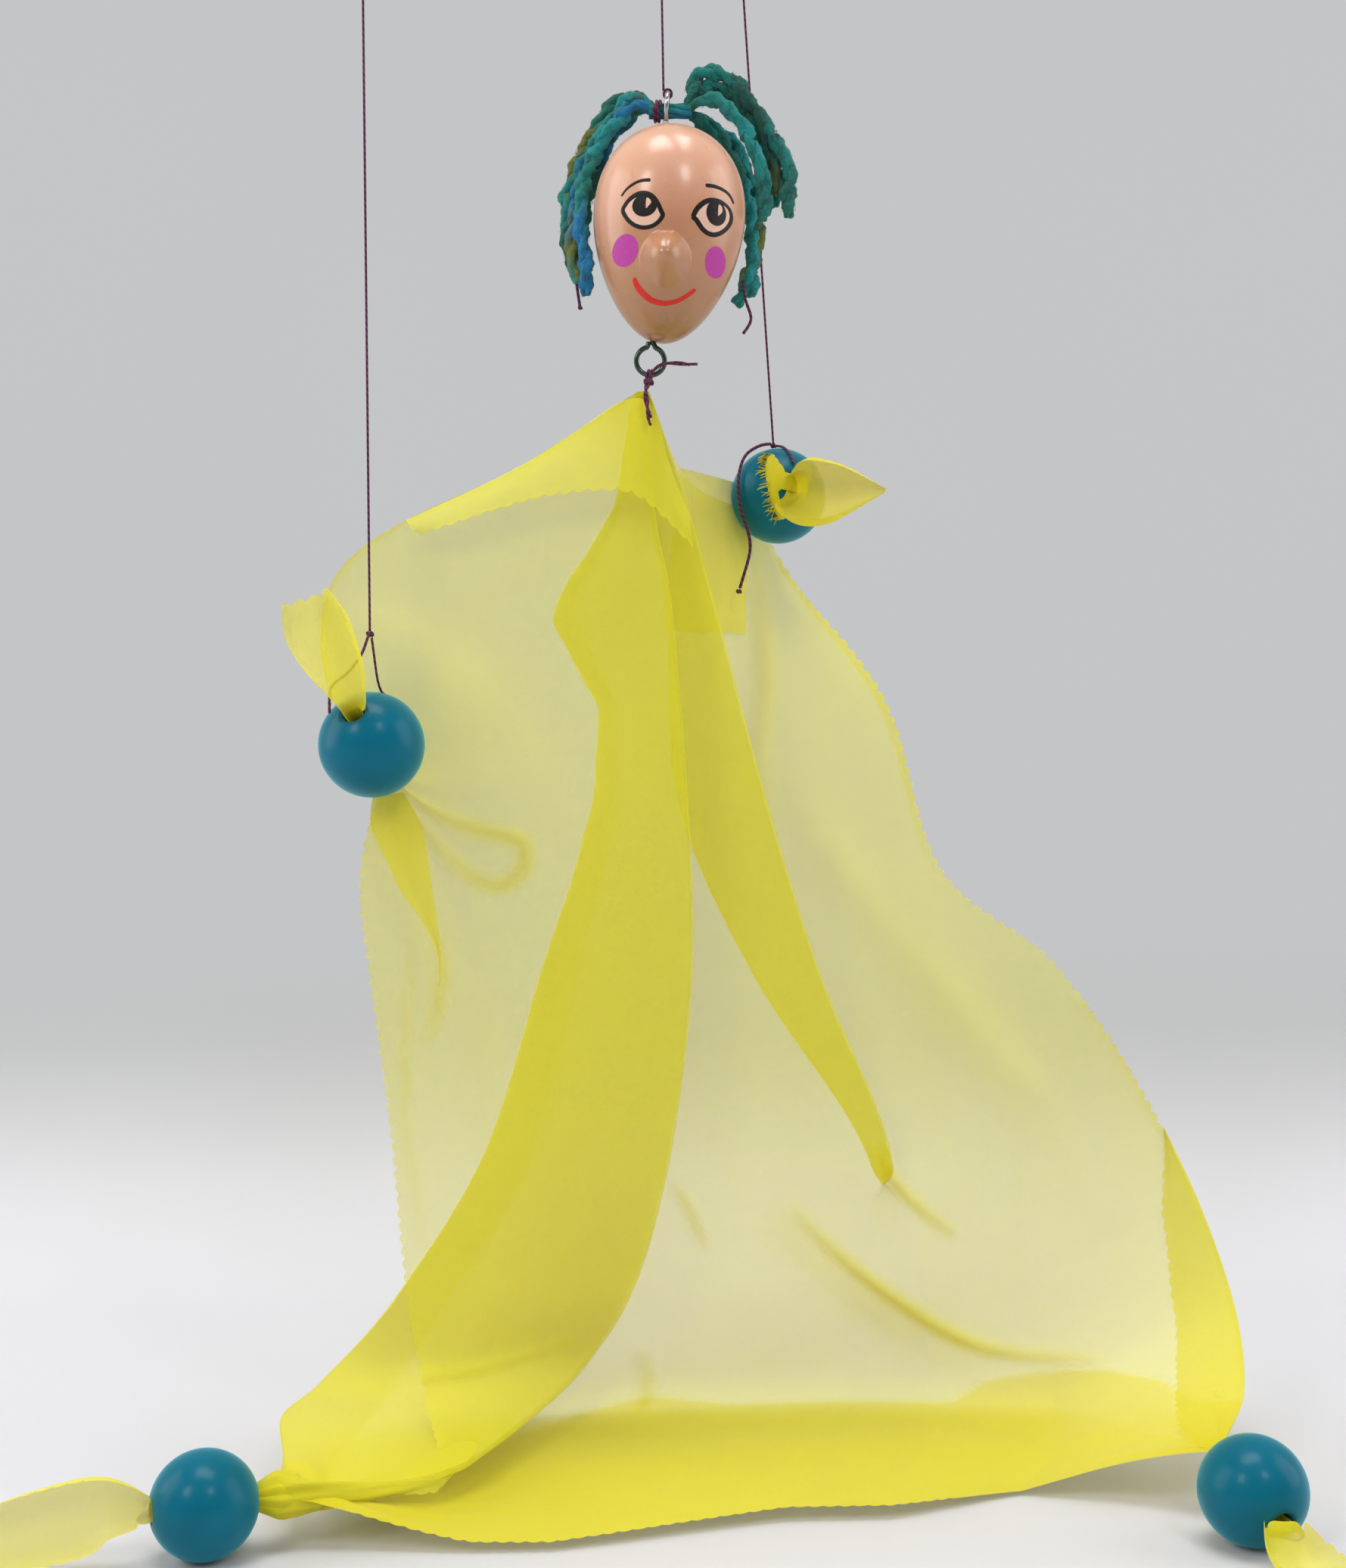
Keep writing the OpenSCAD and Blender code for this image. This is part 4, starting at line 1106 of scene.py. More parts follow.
@dataclass
class Head:
    """The egg with its nose, the painted features and the two screw eyes."""

    high: float = 63.5
    wide: float = 44.5
    egg: float = 0.19
    off: float = 2.8
    chin: float = 10.35
    nose_up: float = 20.0
    nose_out: float = 9.0
    ring: float = 4.15
    wire: float = 0.75
    rows: int = 190
    cols: int = 300
    eye_left: Places = (
        (-12.95, 1.39), (-12.24, 2.97), (-11.02, 4.32), (-9.35, 5.35), (-7.64, 5.73), (-5.90, 5.42), (-4.33, 4.46),
        (-3.04, 2.79), (-2.07, 0.94), (-1.49, -0.34), (-2.22, -1.75), (-3.43, -2.90), (-5.11, -3.59), (-7.05, -3.68),
        (-9.03, -3.10), (-10.85, -1.84), (-12.15, -0.27))
    eye_right: Places = (
        (7.22, 0.04), (7.85, 1.93), (9.03, 3.62), (10.67, 5.02), (12.43, 5.74), (14.33, 5.93), (16.13, 5.49),
        (17.43, 4.49), (18.00, 2.82), (17.69, 0.81), (16.28, -1.47), (14.29, -3.14), (12.24, -3.62), (10.34, -2.97),
        (8.95, -1.60), (8.01, -0.53))

    def radius(self, share: Array) -> Array:
        """Half width at a share of the half height: root of one minus its square, times one plus
        the egg's lean towards the crown."""

        def raw(s: Array) -> Array:
            """The same before it is scaled to the egg's width."""
            return np.sqrt(np.maximum(0, 1 - s * s)) * (1 + self.egg * s)

        return self.wide / 2 * raw(share) / raw(np.linspace(0, 0.4, 41)).max()

    def steep(self, share: Array, near: float = 1e-3) -> Array:
        """How fast the radius grows with height there."""
        above, below = (self.radius(np.clip(share + step, -1, 1)) for step in (near, -near))
        return (above - below) / (near * self.high)

    def nose(self, x: Array, z: Array) -> Array:
        """How far the face stands out: a knob, one minus the distance squared to the power of one
        and a quarter, on a foot that falls like a bell."""
        away = np.hypot(x, z + self.high / 2 - self.nose_up)
        knob = np.maximum(1 - (away / 7.3) ** 2, 0) ** 1.25 * self.nose_out * 0.74
        return knob + self.nose_out * 0.24 * np.exp(-(away / 6.4) ** 2)

    def surface(self, turn: Array, share: Array) -> Array:
        """Points of the head about the egg's middle.

        Args:
            turn: angle round the egg, zero at the face's middle.
            share: height as a share of the half height.

        Returns:
            Points: the egg's radius along the turn, pushed out along its own slope by the nose.
        """
        turn, share = np.broadcast_arrays(turn, share)
        r, z = self.radius(share), share * self.high / 2
        x, y = r * np.sin(turn), -r * np.cos(turn)
        out = np.stack([np.sin(turn), -np.cos(turn), -np.clip(self.steep(share), -9, 9)], axis=-1)
        push = self.nose(x, z) * (y < 0)
        return np.stack([x, y, z], axis=-1) + push[..., None] * unit(out * [0.4, 1.0, 0.25] + [0, 0, -0.06])

    def lift(self, x: Array, z: Array, above: float) -> Array:
        """Points of the face at a side and a height, raised above its surface, the nose's foot included."""
        share = np.clip(z / (self.high / 2), -0.999, 0.999)
        r = self.radius(share)
        turn = np.arcsin(np.clip(x / r, -1, 1))
        face = self.surface(turn, share)
        plain = np.stack([r * np.sin(turn), -r * np.cos(turn), share * self.high / 2], axis=-1)
        out = unit(np.stack([np.sin(turn), -np.cos(turn), -self.steep(share)], axis=-1))
        return plain + out * (above + np.linalg.norm(face - plain, axis=-1, keepdims=True) * 1.05)

    def placed(self, points: Array) -> Array:
        """Metres in the shared frame, from the egg's middle."""
        return metres(on_head(points + [self.off, 0, self.chin + self.high / 2]))

    def build_egg(self, finishes: Finishes) -> None:
        """The turned and carved egg, finer towards the face."""
        turn = np.linspace(-np.pi, np.pi, self.cols, endpoint=False)
        turn = turn - 0.35 * np.sin(turn)
        share = -np.cos(np.linspace(0.012, np.pi - 0.012, self.rows))
        grid = self.surface(turn[None, :], share[:, None])
        shell = Shell().add(self.placed(grid), wrap=True, ends=True)
        settle(shell.piece("head_egg", finishes.skin, "skin"), "head", "head")

    def stroke(
        self,
        name: str,
        line: Places,
        widths: Sequence[float],
        finish: bpy.types.Material,
        closed: bool = False,
        above: float = 0.07,
    ) -> None:
        """A painted stroke: a ribbon on the face along a curve.

        Args:
            name: name of the piece.
            line: the side and height of its places.
            widths: its width at places spread evenly along it.
            finish: its material.
            closed: the stroke meets its own start.
            above: how far it stands on the paint.
        """
        line = [tuple(p) for p in line]
        if closed:
            line = line[-2:] + line + line[:3]
            where = np.linspace(2, len(line) - 3, 120)
        else:
            where = np.linspace(0, len(line) - 1, 90)
        path = through(line, where)
        wide = through([[w] for w in widths], np.linspace(0, len(widths) - 1, len(path)))[:, 0]
        run = unit(np.gradient(path, axis=0))
        over = np.stack([-run[:, 1], run[:, 0]], axis=1)
        if not closed:
            end = np.minimum(length_along(path), length_along(path[::-1])[::-1]) / (wide / 2)
            wide = wide * np.sqrt(np.clip(1 - (1 - np.clip(end, 0, 1)) ** 2, 0.02, 1))
        part = np.linspace(-0.5, 0.5, 7)
        flat = path[:, None] + part[None, :, None] * wide[:, None, None] * over[:, None]
        height = above * (1 - (2 * np.abs(part)) ** 4)[None, :] + 0.015
        bare, raised = (self.lift(flat[..., 0], flat[..., 1], up) for up in (0.0, 1.0))
        self.paint(name, (bare + (raised - bare) * height[..., None])[:, ::-1], finish)

    def patch(self, name: str, rim: Places, finish: bpy.types.Material, above: float) -> None:
        """A painted patch: rings that shrink from its rim to its middle, laid on the face."""
        rim = [tuple(p) for p in rim]
        ring = through(rim[-1:] + rim + rim[:2], np.linspace(1, len(rim) + 1, 64, endpoint=False))
        middle = ring.mean(0)
        share = np.linspace(1, 0.02, 12)[:, None, None]
        flat = middle + (ring[None] - middle) * share
        grid = self.lift(flat[..., 0], flat[..., 1], above)
        self.paint(name, grid, finish, wrap=True)

    def paint(self, name: str, grid: Array, finish: bpy.types.Material, wrap: bool = False) -> None:
        """Make a painted mark and let it ride on the head."""
        placed = self.placed(grid)
        slope = slopes(placed)
        if slope[..., 1].mean() > 0:
            placed = placed[:, ::-1]
        settle(Shell().add(placed, wrap=wrap).piece(name, finish, "skin"), "head")

    def oval(self, x: float, z: float, wide: float, high: float, tilt: float = 0.0, count: int = 16) -> Array:
        """Places round an oval: its middle plus cosine and sine of the angle, turned by the tilt."""
        a = np.linspace(0, 2 * np.pi, count, endpoint=False)
        u, v = wide * np.cos(a), high * np.sin(a)
        c, s = math.cos(tilt), math.sin(tilt)
        return np.stack([x + u * c - v * s, z + u * s + v * c], axis=1)

    def build_features(self, finishes: Finishes) -> None:
        """Eyes, brows, cheeks and mouth, stroke by stroke."""
        for side, rim, wide in (
            ("left", self.eye_left, (1.2, 1.35, 1.5, 1.3, 1.35, 1.25, 1.2, 1.15, 1.2)),
            ("right", self.eye_right, (1.4, 1.5, 1.4, 1.1, 1.15, 1.1, 1.35, 1.5, 1.4)),
        ):
            self.patch(f"{side}_eye_ground", rim, finishes.inner, 0.03)
            self.stroke(f"{side}_eye_outline", rim, wide, finishes.black, closed=True, above=0.12)
        self.patch("left_iris", self.oval(-6.75, 2.35, 3.55, 3.15), finishes.black, 0.07)
        self.patch("right_iris", self.oval(13.6, 2.45, 2.85, 3.5, -0.1), finishes.black, 0.07)
        glint = [(-6.35, 4.25), (-5.4, 4.0), (-4.95, 3.1), (-5.6, 2.2), (-6.3, 1.6)]
        self.patch("left_glint", glint, finishes.inner, 0.12)
        glint = [(14.15, 4.9), (15.1, 4.4), (15.2, 3.2), (14.6, 2.3), (14.1, 2.0)]
        self.patch("right_glint", glint, finishes.inner, 0.12)
        self.stroke("left_brow", [(-13.7, 5.4), (-12.1, 7.4), (-9.7, 8.9), (-7.6, 9.45), (-5.5, 9.5)],
                    (0.6, 0.8, 0.95, 1.1), finishes.black)
        self.stroke("right_brow", [(10.0, 9.5), (13.1, 9.8), (16.0, 9.3), (17.5, 8.25), (18.45, 6.8)],
                    (1.2, 1.05, 0.9, 0.65), finishes.black)
        self.patch("left_cheek", self.oval(-11.6, -9.4, 3.85, 4.25, 0.1), finishes.rouge, 0.03)
        self.patch("right_cheek", self.oval(14.25, -10.4, 2.95, 4.15, -0.2), finishes.rouge, 0.03)
        mouth = [(-8.6, -16.6), (-7.9, -18.3), (-6.6, -20.0), (-4.07, -21.98), (-2.0, -22.8), (0.04, -23.05),
                 (2.13, -22.8), (4.35, -22.0), (6.77, -20.46), (9.1, -18.5)]
        self.stroke("mouth", mouth, (1.2, 1.6, 1.55, 1.35, 1.2, 1.1, 1.0), finishes.lips)

    def build_screw_eye(self, name: str, node: str, middle: Array, top: bool, finishes: Finishes) -> None:
        """A screw eye bent from one wire: a straight shank that runs into eleven twelfths of a ring.

        Args:
            name: name of the piece.
            node: the frame node that it replaces.
            middle: the ring's middle in the head's own frame.
            top: the shank points down and the ring is turned edge-on.
            finishes: the finishes.
        """
        turn = np.radians(np.linspace(72, -252, 60))
        ring = self.ring * np.stack([np.cos(turn), np.sin(turn)], axis=1)
        shank = [[0, 13.9], [0, 11], [0, 8.2], [0, 6.6], [0.25, 5.6], [0.8, 4.75]]
        flat = np.concatenate([shank, ring, [[-1.0, 4.75], [-0.85, 5.5]]])
        path = np.stack([flat[:, 0], np.zeros(len(flat)), flat[:, 1]], axis=1)
        if top:
            path = np.stack([np.zeros(len(flat)), flat[:, 0], -flat[:, 1]], axis=1)
        path = evenly(on_head(middle + path), 0.35)
        shell = Shell().tube(metres(path), self.wire / 1000, 14)
        settle(shell.piece(name, finishes.steel, "steel"), "head", node)

    def build(self, finishes: Finishes) -> None:
        """Make the head and what is screwed into it."""
        self.build_egg(finishes)
        self.build_features(finishes)
        self.build_screw_eye("lower_screw_eye", "neck_screw_eye", np.array([0, 0, 4.9]), False, finishes)
        self.build_screw_eye("upper_screw_eye", "top_screw_eye", np.array([0, 0, 79.3]), True, finishes)
        LOG.info("head made")


# Hair ------------------------------------------------------------------------


@dataclass
class Hair:
    """Lengths of two-ply wool drawn through the top ring and spread to both sides."""

    ply: float = 1.5
    pitch: float = 15.0
    seed: int = 11
    left: Sequence[Places] = (
        [[-4.3, 0.5, 1.2], [-9, 3, 5], [-15, 5, 4.4], [-21.6, 5, -4.5], [-26.6, 5, -13.5], [-29.6, 4, -24.5],
         [-30.2, 3, -36], [-28, 2, -45.5]],
        [[-4.3, -0.3, 0], [-9.5, -0.8, 1.5], [-16.5, -0.5, -5], [-22.6, 0, -14.5], [-25.6, -1, -24],
         [-26.1, -2, -34.5], [-25.2, -2.4, -44.5], [-24, -1.4, -53]],
        [[-4.3, 0.6, 0.3], [-9, 5, 2.4], [-14, 9.5, -1.5], [-19.6, 11.4, -10.5], [-24.2, 11.4, -21.5],
         [-26.2, 10.4, -33.5], [-26.6, 9.4, -42.5]],
        [[-4.3, 0.2, 0.9], [-8.5, 1, 4.2], [-13, 1.6, 1.6], [-18.8, 2.4, -5.4], [-24, 3, -14], [-27.6, 2, -27],
         [-28.4, 1, -38], [-27, 0.4, -49]],
    )
    right: Sequence[Places] = (
        [[6.3, 0.3, 1], [8.5, 1, 9.4], [13, 2, 12.2], [20, 2, 9], [26, 2, 0.5], [32, 2, -9.5], [36, 2, -20],
         [35.6, 2, -31.5]],
        [[6.3, 0.8, 0.6], [9.5, 5, 5.6], [14.5, 6.2, 6.8], [20.8, 6.2, 2.2], [26, 6.2, -6.5], [30.4, 6.2, -16.5],
         [31.4, 6.2, -26.5]],
        [[6.3, -0.3, 0], [10, -1, 2.6], [16.4, -1.6, 2], [22.4, -1.6, -5.5], [27, -1.2, -15.5], [28.4, 0, -25.5],
         [27.8, 1, -33]],
        [[6.3, 0.4, 0.8], [8.6, 2.6, 6.4], [13.4, 3.6, 9.4], [19.6, 4, 6], [25.6, 4, -3], [31, 4, -13],
         [33, 3.4, -22.6]],
    )
    back: Sequence[Places] = (
        [[7.3, 5.3, 0], [11, 10, 0.4], [17.4, 13, -3.6], [23.4, 13.6, -11.6], [26.4, 13.6, -23.6], [26, 13, -36.6],
         [23.4, 12.4, -47.6], [19.8, 12.4, -54]],
        [[7.3, 4.3, -0.4], [11, 8.4, -1.4], [16.4, 11.4, -6], [21.6, 12, -15], [24, 12, -27], [24.6, 11.6, -40],
         [24, 11.6, -52]],
    )
    dyes: tuple = (shade(0, 158, 146), shade(0, 146, 208), shade(8, 130, 108), shade(128, 136, 26),
                   shade(0, 176, 176), shade(12, 100, 78))

    def dye(self, run: Array, start: float, order: Sequence[int]) -> Array:
        """Dye along a strand: the order's colours follow each other and melt over a few millimetres."""
        at = (run / 16.0 + start) % len(order)
        low = np.floor(at).astype(int)
        part = np.clip((at - low - 0.55) / 0.45, 0, 1)[:, None]
        colours = np.array(self.dyes)[list(order)]
        mixed = colours[low] * (1 - part) + colours[(low + 1) % len(order)] * part
        return np.concatenate([mixed, np.ones((len(run), 1))], axis=1)

    def add_strand(
        self,
        shell: Shell,
        fuzz: Shell,
        places: Places,
        number: int,
        order: Sequence[int],
        rng: np.random.Generator,
    ) -> None:
        """A strand of two plies with stray fibres.

        Each ply's middle is the strand's middle plus its own radius times the
        cosine and sine of the twist; both swell from the ring outwards.

        Args:
            shell: takes the plies.
            fuzz: takes the fibres.
            places: route from the ring, measured from the bundle's middle.
            number: which strand it is.
            order: the dyes in turn.
            rng: source of the small irregularities.
        """
        path = evenly(BUNDLE + np.array(places, float), 0.55)
        run = length_along(path)
        posts = np.arange(0, run[-1] + 6, 5.0)
        wave = np.stack([np.interp(run, posts, rng.normal(0, 0.5, len(posts))) for _ in range(3)], 1)
        path = path + wave * np.clip(run / 12, 0, 1)[:, None]
        grown = 0.5 + 0.5 * np.clip(run / 7.5, 0, 1) ** 0.8
        tip = 1 - 0.35 * np.clip((run - run[-1] + 3.0) / 3.0, 0, 1) ** 2
        side, up = frame_along(path)
        twist = 2 * np.pi * run / self.pitch + number * 1.7
        lumps = 1 + 0.14 * np.sin(run * 0.55 + number) + 0.07 * np.sin(run * 1.3 + 2 * number)
        for half in (0.0, np.pi):
            a = (twist + half)[:, None]
            middle = path + (self.ply * 0.52 * grown)[:, None] * (np.cos(a) * side + np.sin(a) * up)
            colour = self.dye(run, number * 0.83 + half * 0.12, order)
            radius = self.ply * grown * tip * lumps
            grid = tube_grid(metres(middle), radius / 1000, 12)
            turn = np.linspace(0, 2 * np.pi, 12, endpoint=False)[None, :]
            uneven = 0.13 * np.sin(2 * turn + 1.3 * run[:, None] + number)
            uneven = uneven + 0.1 * np.sin(3 * turn - 2.6 * run[:, None] + half)
            grid = grid + (grid - metres(middle)[:, None]) * uneven[..., None]
            uv = (np.append(run, run[-1]), np.arange(13) / 12)
            shell.add(grid, wrap=True, ends=True, uv=uv, dye=np.repeat(colour[:, None], 12, 1))
        count = int(run[-1] * 8)
        at = rng.integers(int(len(path) * 0.08), len(path) - 4, count)
        out = unit(rng.normal(0, 1, (count, 3)))
        along = unit(np.gradient(path, axis=0))[at]
        out = unit(out - (out * along).sum(1, keepdims=True) * along)
        reach = rng.uniform(0.5, 1.9, count)[:, None]
        t = np.linspace(0, 1, 5)[None, :, None]
        sway = along[:, None] * reach[:, None] * t * rng.uniform(-0.9, 0.9, (count, 1, 1))
        hair = (path[at] + out * self.ply)[:, None] + out[:, None] * reach[:, None] * t * (1 - 0.5 * t) + sway
        tint = self.dye(run, number * 0.83, order)
        for k in range(count):
            ring = tube_grid(metres(hair[k]), np.array([0.07, 0.065, 0.055, 0.04, 0.015]) / 1000, 3)
            fuzz.add(ring, wrap=True, dye=np.broadcast_to(tint[at[k]], (5, 3, 4)))

    def build_group(
        self,
        side: str,
        routes: Sequence[Places],
        orders: Sequence[Sequence[int]],
        finishes: Finishes,
        rng: np.random.Generator,
    ) -> None:
        """All strands of one side as one piece, with their fibres as another."""
        shell, fuzz = Shell(), Shell()
        for number, places in enumerate(routes):
            self.add_strand(shell, fuzz, places, number, orders[number % len(orders)], rng)
        settle(shell.piece(f"wool_{side}", finishes.yarn, "yarn"), "head", f"hair_{side}")
        settle(fuzz.piece(f"wool_{side}_fibres", finishes.yarn, "yarn"), "head")

    def build_bundle(self, finishes: Finishes) -> None:
        """Seven pressed plies inside the ring: one in the middle and six turned slowly round it."""
        shell = Shell()
        x = np.linspace(-5.2, 7.2, 26)
        for number in range(7):
            a = number * np.pi / 3 + x * 0.12
            reach = 0.0 if number == 6 else 1.5
            path = BUNDLE + np.stack([x, reach * np.cos(a), reach * np.sin(a)], axis=1)
            colour = self.dye(x + 6, number * 0.7, (0, 2, 4, 1, 5))
            grid = tube_grid(metres(path), 0.00080, 10)
            shell.add(grid, wrap=True, ends=True, uv=(np.append(x + 6, 14), np.arange(11) / 10),
                      dye=np.repeat(colour[:, None], 10, 1))
        settle(shell.piece("hair_in_ring", finishes.yarn, "yarn"), "head", "hair_bundle")

    def build(self, finishes: Finishes) -> None:
        """Make the bundle and both sides."""
        rng = np.random.default_rng(self.seed)
        self.build_bundle(finishes)
        for side, routes, orders in (
            ("left", self.left, ((5, 2, 3, 0), (1, 1, 4, 0), (2, 4, 0, 1), (0, 1, 3, 4))),
            ("right", self.right, ((2, 0, 5, 0), (0, 3, 2, 0), (0, 2, 0, 4), (2, 5, 3, 0))),
            ("back", self.back, ((0, 4, 0, 3), (4, 0, 2, 4))),
        ):
            self.build_group(side, routes, orders, finishes, rng)
        LOG.info("hair made")


# Beads -----------------------------------------------------------------------


@dataclass
class Beads:
    """Four lacquered wooden beads with true bores and rounded rims."""

    radius: float = BEAD_RADIUS
    bore: float = 3.25
    rim: float = 0.9
    sides: int = 112

    def profile(self) -> tuple[Array, Array]:
        """Half section of a bead as a closed line.

        Returns:
            Distance from the axis and place along it, going over the outside
            from one rim to the other and back through the bore, and how
            near each point is to the bore.
        """
        reach = self.radius - self.rim
        gate = math.asin((self.bore + self.rim) / reach)
        outer = np.linspace(gate, np.pi - gate, 64)
        over = np.stack([self.radius * np.sin(outer), self.radius * np.cos(outer)], axis=1)
        middle = np.array([self.bore + self.rim, reach * math.cos(gate)])
        a = np.linspace(np.pi / 2 - gate, np.pi, 9)[1:]
        top = middle + self.rim * np.stack([np.cos(a), np.sin(a)], axis=1)
        wall = np.stack([np.full(10, self.bore), np.linspace(-middle[1], middle[1], 12)[1:-1]], axis=1)
        line = np.concatenate([over, top * [1, -1], wall, top[::-1]])
        near = np.clip(1 - (line[:, 0] - self.bore) / (2.2 * self.rim), 0, 1)
        return line, near

    def build_bead(self, limb: Limb, finishes: Finishes) -> None:
        """Turn the half section round the bore."""
        bore = BORES[limb]
        line, near = self.profile()
        way = unit(bore.way)
        side = unit(np.cross(way, [0, 0, 1.0] if abs(way[2]) < 0.9 else [1.0, 0, 0]))
        up = np.cross(way, side)
        a = np.linspace(0, 2 * np.pi, self.sides, endpoint=False)
        around = np.cos(a)[None, :, None] * side - np.sin(a)[None, :, None] * up
        grid = np.array(bore.middle) + line[:, 0][:, None, None] * around + line[:, 1][:, None, None] * way
        shell = Shell().add(metres(grid), wrap=True, loop=True, rim=np.repeat(near[:, None], self.sides, 1))
        settle(shell.piece(f"bead_of_{limb.value}", finishes.lacquer, "bead"), limb.value, f"{limb.value}_bead")

    def build(self, finishes: Finishes) -> None:
        """Make the four beads."""
        for limb in Limb:
            self.build_bead(limb, finishes)
        LOG.info("beads made")


# Robe ------------------------------------------------------------------------


class Share(Enum):
    """The parts of the robe: the body on the control, and past each start a part for one other body."""

    BODY = ("control", None, None)
    NECK = ("neck", (0.0, 0.0, 308.5), (4.55, 0.0, 320.7))
    LEFT_HAND = ("left_hand", (-63.2, -4.8, 208.0), (-82.7, -9.0, 214.5))
    RIGHT_HAND = ("right_hand", (18.2, 42.4, 278.0), (21.0, 64.8, 294.5))
    LEFT_FOOT = ("left_foot", (-10.4, -9.1, -8.0), (-46.8, -41.0, -36.0))
    RIGHT_FOOT = ("right_foot", (94.0, 25.5, 20.0), (134.8, -28.9, 20.0))


def seen_flat(grid: Array) -> Array:
    """Side and height at which the camera sees each point against the upright plane through the neck."""
    seat = np.array(Studio.seat)
    away = grid - seat
    return seat[[0, 2]] - seat[1] * away[..., [0, 2]] / away[..., 1:2]


@dataclass(frozen=True)
class Crease:
    """A soft fold in the hanging cloth, placed as the camera sees it: its height raises the cloth, and its layers
    paint the fold's shade as denser, deeper yellow cloth.
    """

    legs: tuple[int, ...]
    places: Places
    width: float = 2.2
    height: float = 1.6
    # layers of painted shade along the fold
    layers: float = 0.8

    def strength(self, seen: Array) -> Array:
        """One on the fold's line; e to the minus distance squared across it, and a sine along it."""
        line = through(self.places, np.linspace(0, len(self.places) - 1, 5 * len(self.places)))
        best, where = np.full(seen.shape[:2], 99.0), np.zeros(seen.shape[:2])
        for number, (first, second) in enumerate(zip(line[:-1], line[1:])):
            run = second - first
            t = np.clip((seen - first) @ run / (run @ run), 0, 1)
            away = np.linalg.norm(seen - first - t[..., None] * run, axis=2)
            where = np.where(away < best, number + t, where)
            best = np.minimum(best, away)
        return np.exp(-(best / self.width) ** 2) * np.sin(np.pi * np.clip(where / (len(line) - 1), 0, 1)) ** 0.8


# Each crease raises a fold and paints its shade as extra layers.
CREASES_WITH_PAINTED_SHADE = (
    Crease((0,), ((-76.7, 206.6), (-65.3, 198.5), (-53.1, 196.9), (-45.3, 194.9), (-45.5, 187), (-53.1, 182.2),
                  (-62.4, 186.3), (-74, 196)), 2.3, 2.2, 1.3),
    Crease((0,), ((-84, 212), (-81.5, 194), (-75.6, 178), (-72.3, 162), (-73.5, 142)), 5.0, 1.6, 0.25),
    Crease((0,), ((-77.9, 171), (-79.3, 154.9), (-80.6, 134.5), (-80.8, 109.4), (-75.7, 70.6)), 1.4, 1.2, 0.5),
    Crease((5, 6, 7, 8), ((30.3, 86.9), (46.0, 71.4), (60.8, 59.4), (78.6, 47.9), (95.9, 42.1), (123.6, 40.3)),
           2.0, 2.4, 1.7),
    # a broad band of painted shade below the fold before it
    Crease((4, 5, 6, 7, 8), ((22, 86), (40, 70), (56, 57.6), (72, 47.6), (92, 40)), 6.5, 2.4, 0.45),
    Crease((4, 5), ((-3.3, 94.9), (2.1, 85.7), (6.5, 74.1)), 1.8, 1.6, 0.7),
    Crease((0,), ((-112, 31), (-94, 35.8), (-78, 38.3), (-55.3, 41.9), (-28.5, 50.3)), 2.0, 1.6, 0.5),
    Crease((4,), ((-14.2, 45.8), (-11.4, 38.4), (-12.2, 22), (-7.4, 16.2), (-5.4, 1.2), (-8.5, -12.7)),
           2.2, 1.4, 0.9),
    Crease((5, 6, 7, 8), ((57.6, 104), (60.2, 95.6), (68.6, 85.9), (80.5, 76.2)), 2.0, 1.8, 1.3),
    Crease((7, 8), ((29.6, 237.3), (36, 206), (50.6, 181.5), (73.1, 148.9), (88.9, 128), (112, 116)), 7.0, 3.0, 0.15),
    Crease((7, 8), ((20, 285), (25.4, 262.9), (27, 240.7), (25, 218.5), (29, 196)), 3.4, 1.8, 0.6),
    Crease((0,), ((-96, 262), (-70, 250), (-48, 226), (-36, 192)), 8.0, 3.0, 0.1),
    Crease((0,), ((-66, 176), (-58, 140), (-56, 104), (-62, 74)), 7.0, 2.6, 0.1),
    Crease((7, 8), ((60, 190), (80, 150), (104, 112), (126, 76)), 8.0, 3.0, 0.1),
    Crease((7, 8), ((116, 148), (126, 136), (134, 121), (144, 101)), 1.6, 1.4, 0.8),
    Crease((0,), ((-70, 170), (-69.4, 159), (-71.2, 147), (-75, 136)), 1.7, 1.3, 0.9),
)


def cut_edges(grid: Array, left: bool, right: bool, low: bool) -> tuple[Array, Array]:
    """Distance to the nearest cut edge and the run along that edge, both in millimetres.

    Args:
        grid: the points.
        left: the first column is a cut edge.
        right: the last column is one.
        low: the last row is one.

    Returns:
        The two numbers at each point.
    """
    step = np.linalg.norm(np.diff(grid, axis=1), axis=2)
    over = np.concatenate([np.zeros((len(grid), 1)), np.cumsum(step, axis=1)], axis=1)
    fall = np.linalg.norm(np.diff(grid, axis=0), axis=2)
    down = np.concatenate([np.zeros((1, grid.shape[1])), np.cumsum(fall, axis=0)], axis=0)
    off = run = np.full(grid.shape[:2], NO_EDGE)
    choices = ((left, over, down[:, :1] + 0 * over), (right, over[:, -1:] - over, down[:, -1:] + 0 * over),
               (low, down[-1:] - down, over[-1:] + 0 * over))
    for wanted, away, beside in choices:
        if wanted:
            run = np.where(away < off, beside, run)
            off = np.minimum(off, away)
    return off, run


def area_of(grid: Array, keep: Array) -> float:
    """Area of the kept faces in square metres: half the cross of each face's two diagonals."""
    cross = np.cross(grid[1:, 1:] - grid[:-1, :-1], grid[1:, :-1] - grid[:-1, 1:])
    return float((np.linalg.norm(cross, axis=2) / 2)[keep].sum() * 1e-6)


@dataclass(frozen=True)
class Sheet:
    """Cloth before it is cut: points, distance from and run along the cut edge, and covers beyond the first."""

    grid: Array
    off: Array
    run: Array
    covers: Array


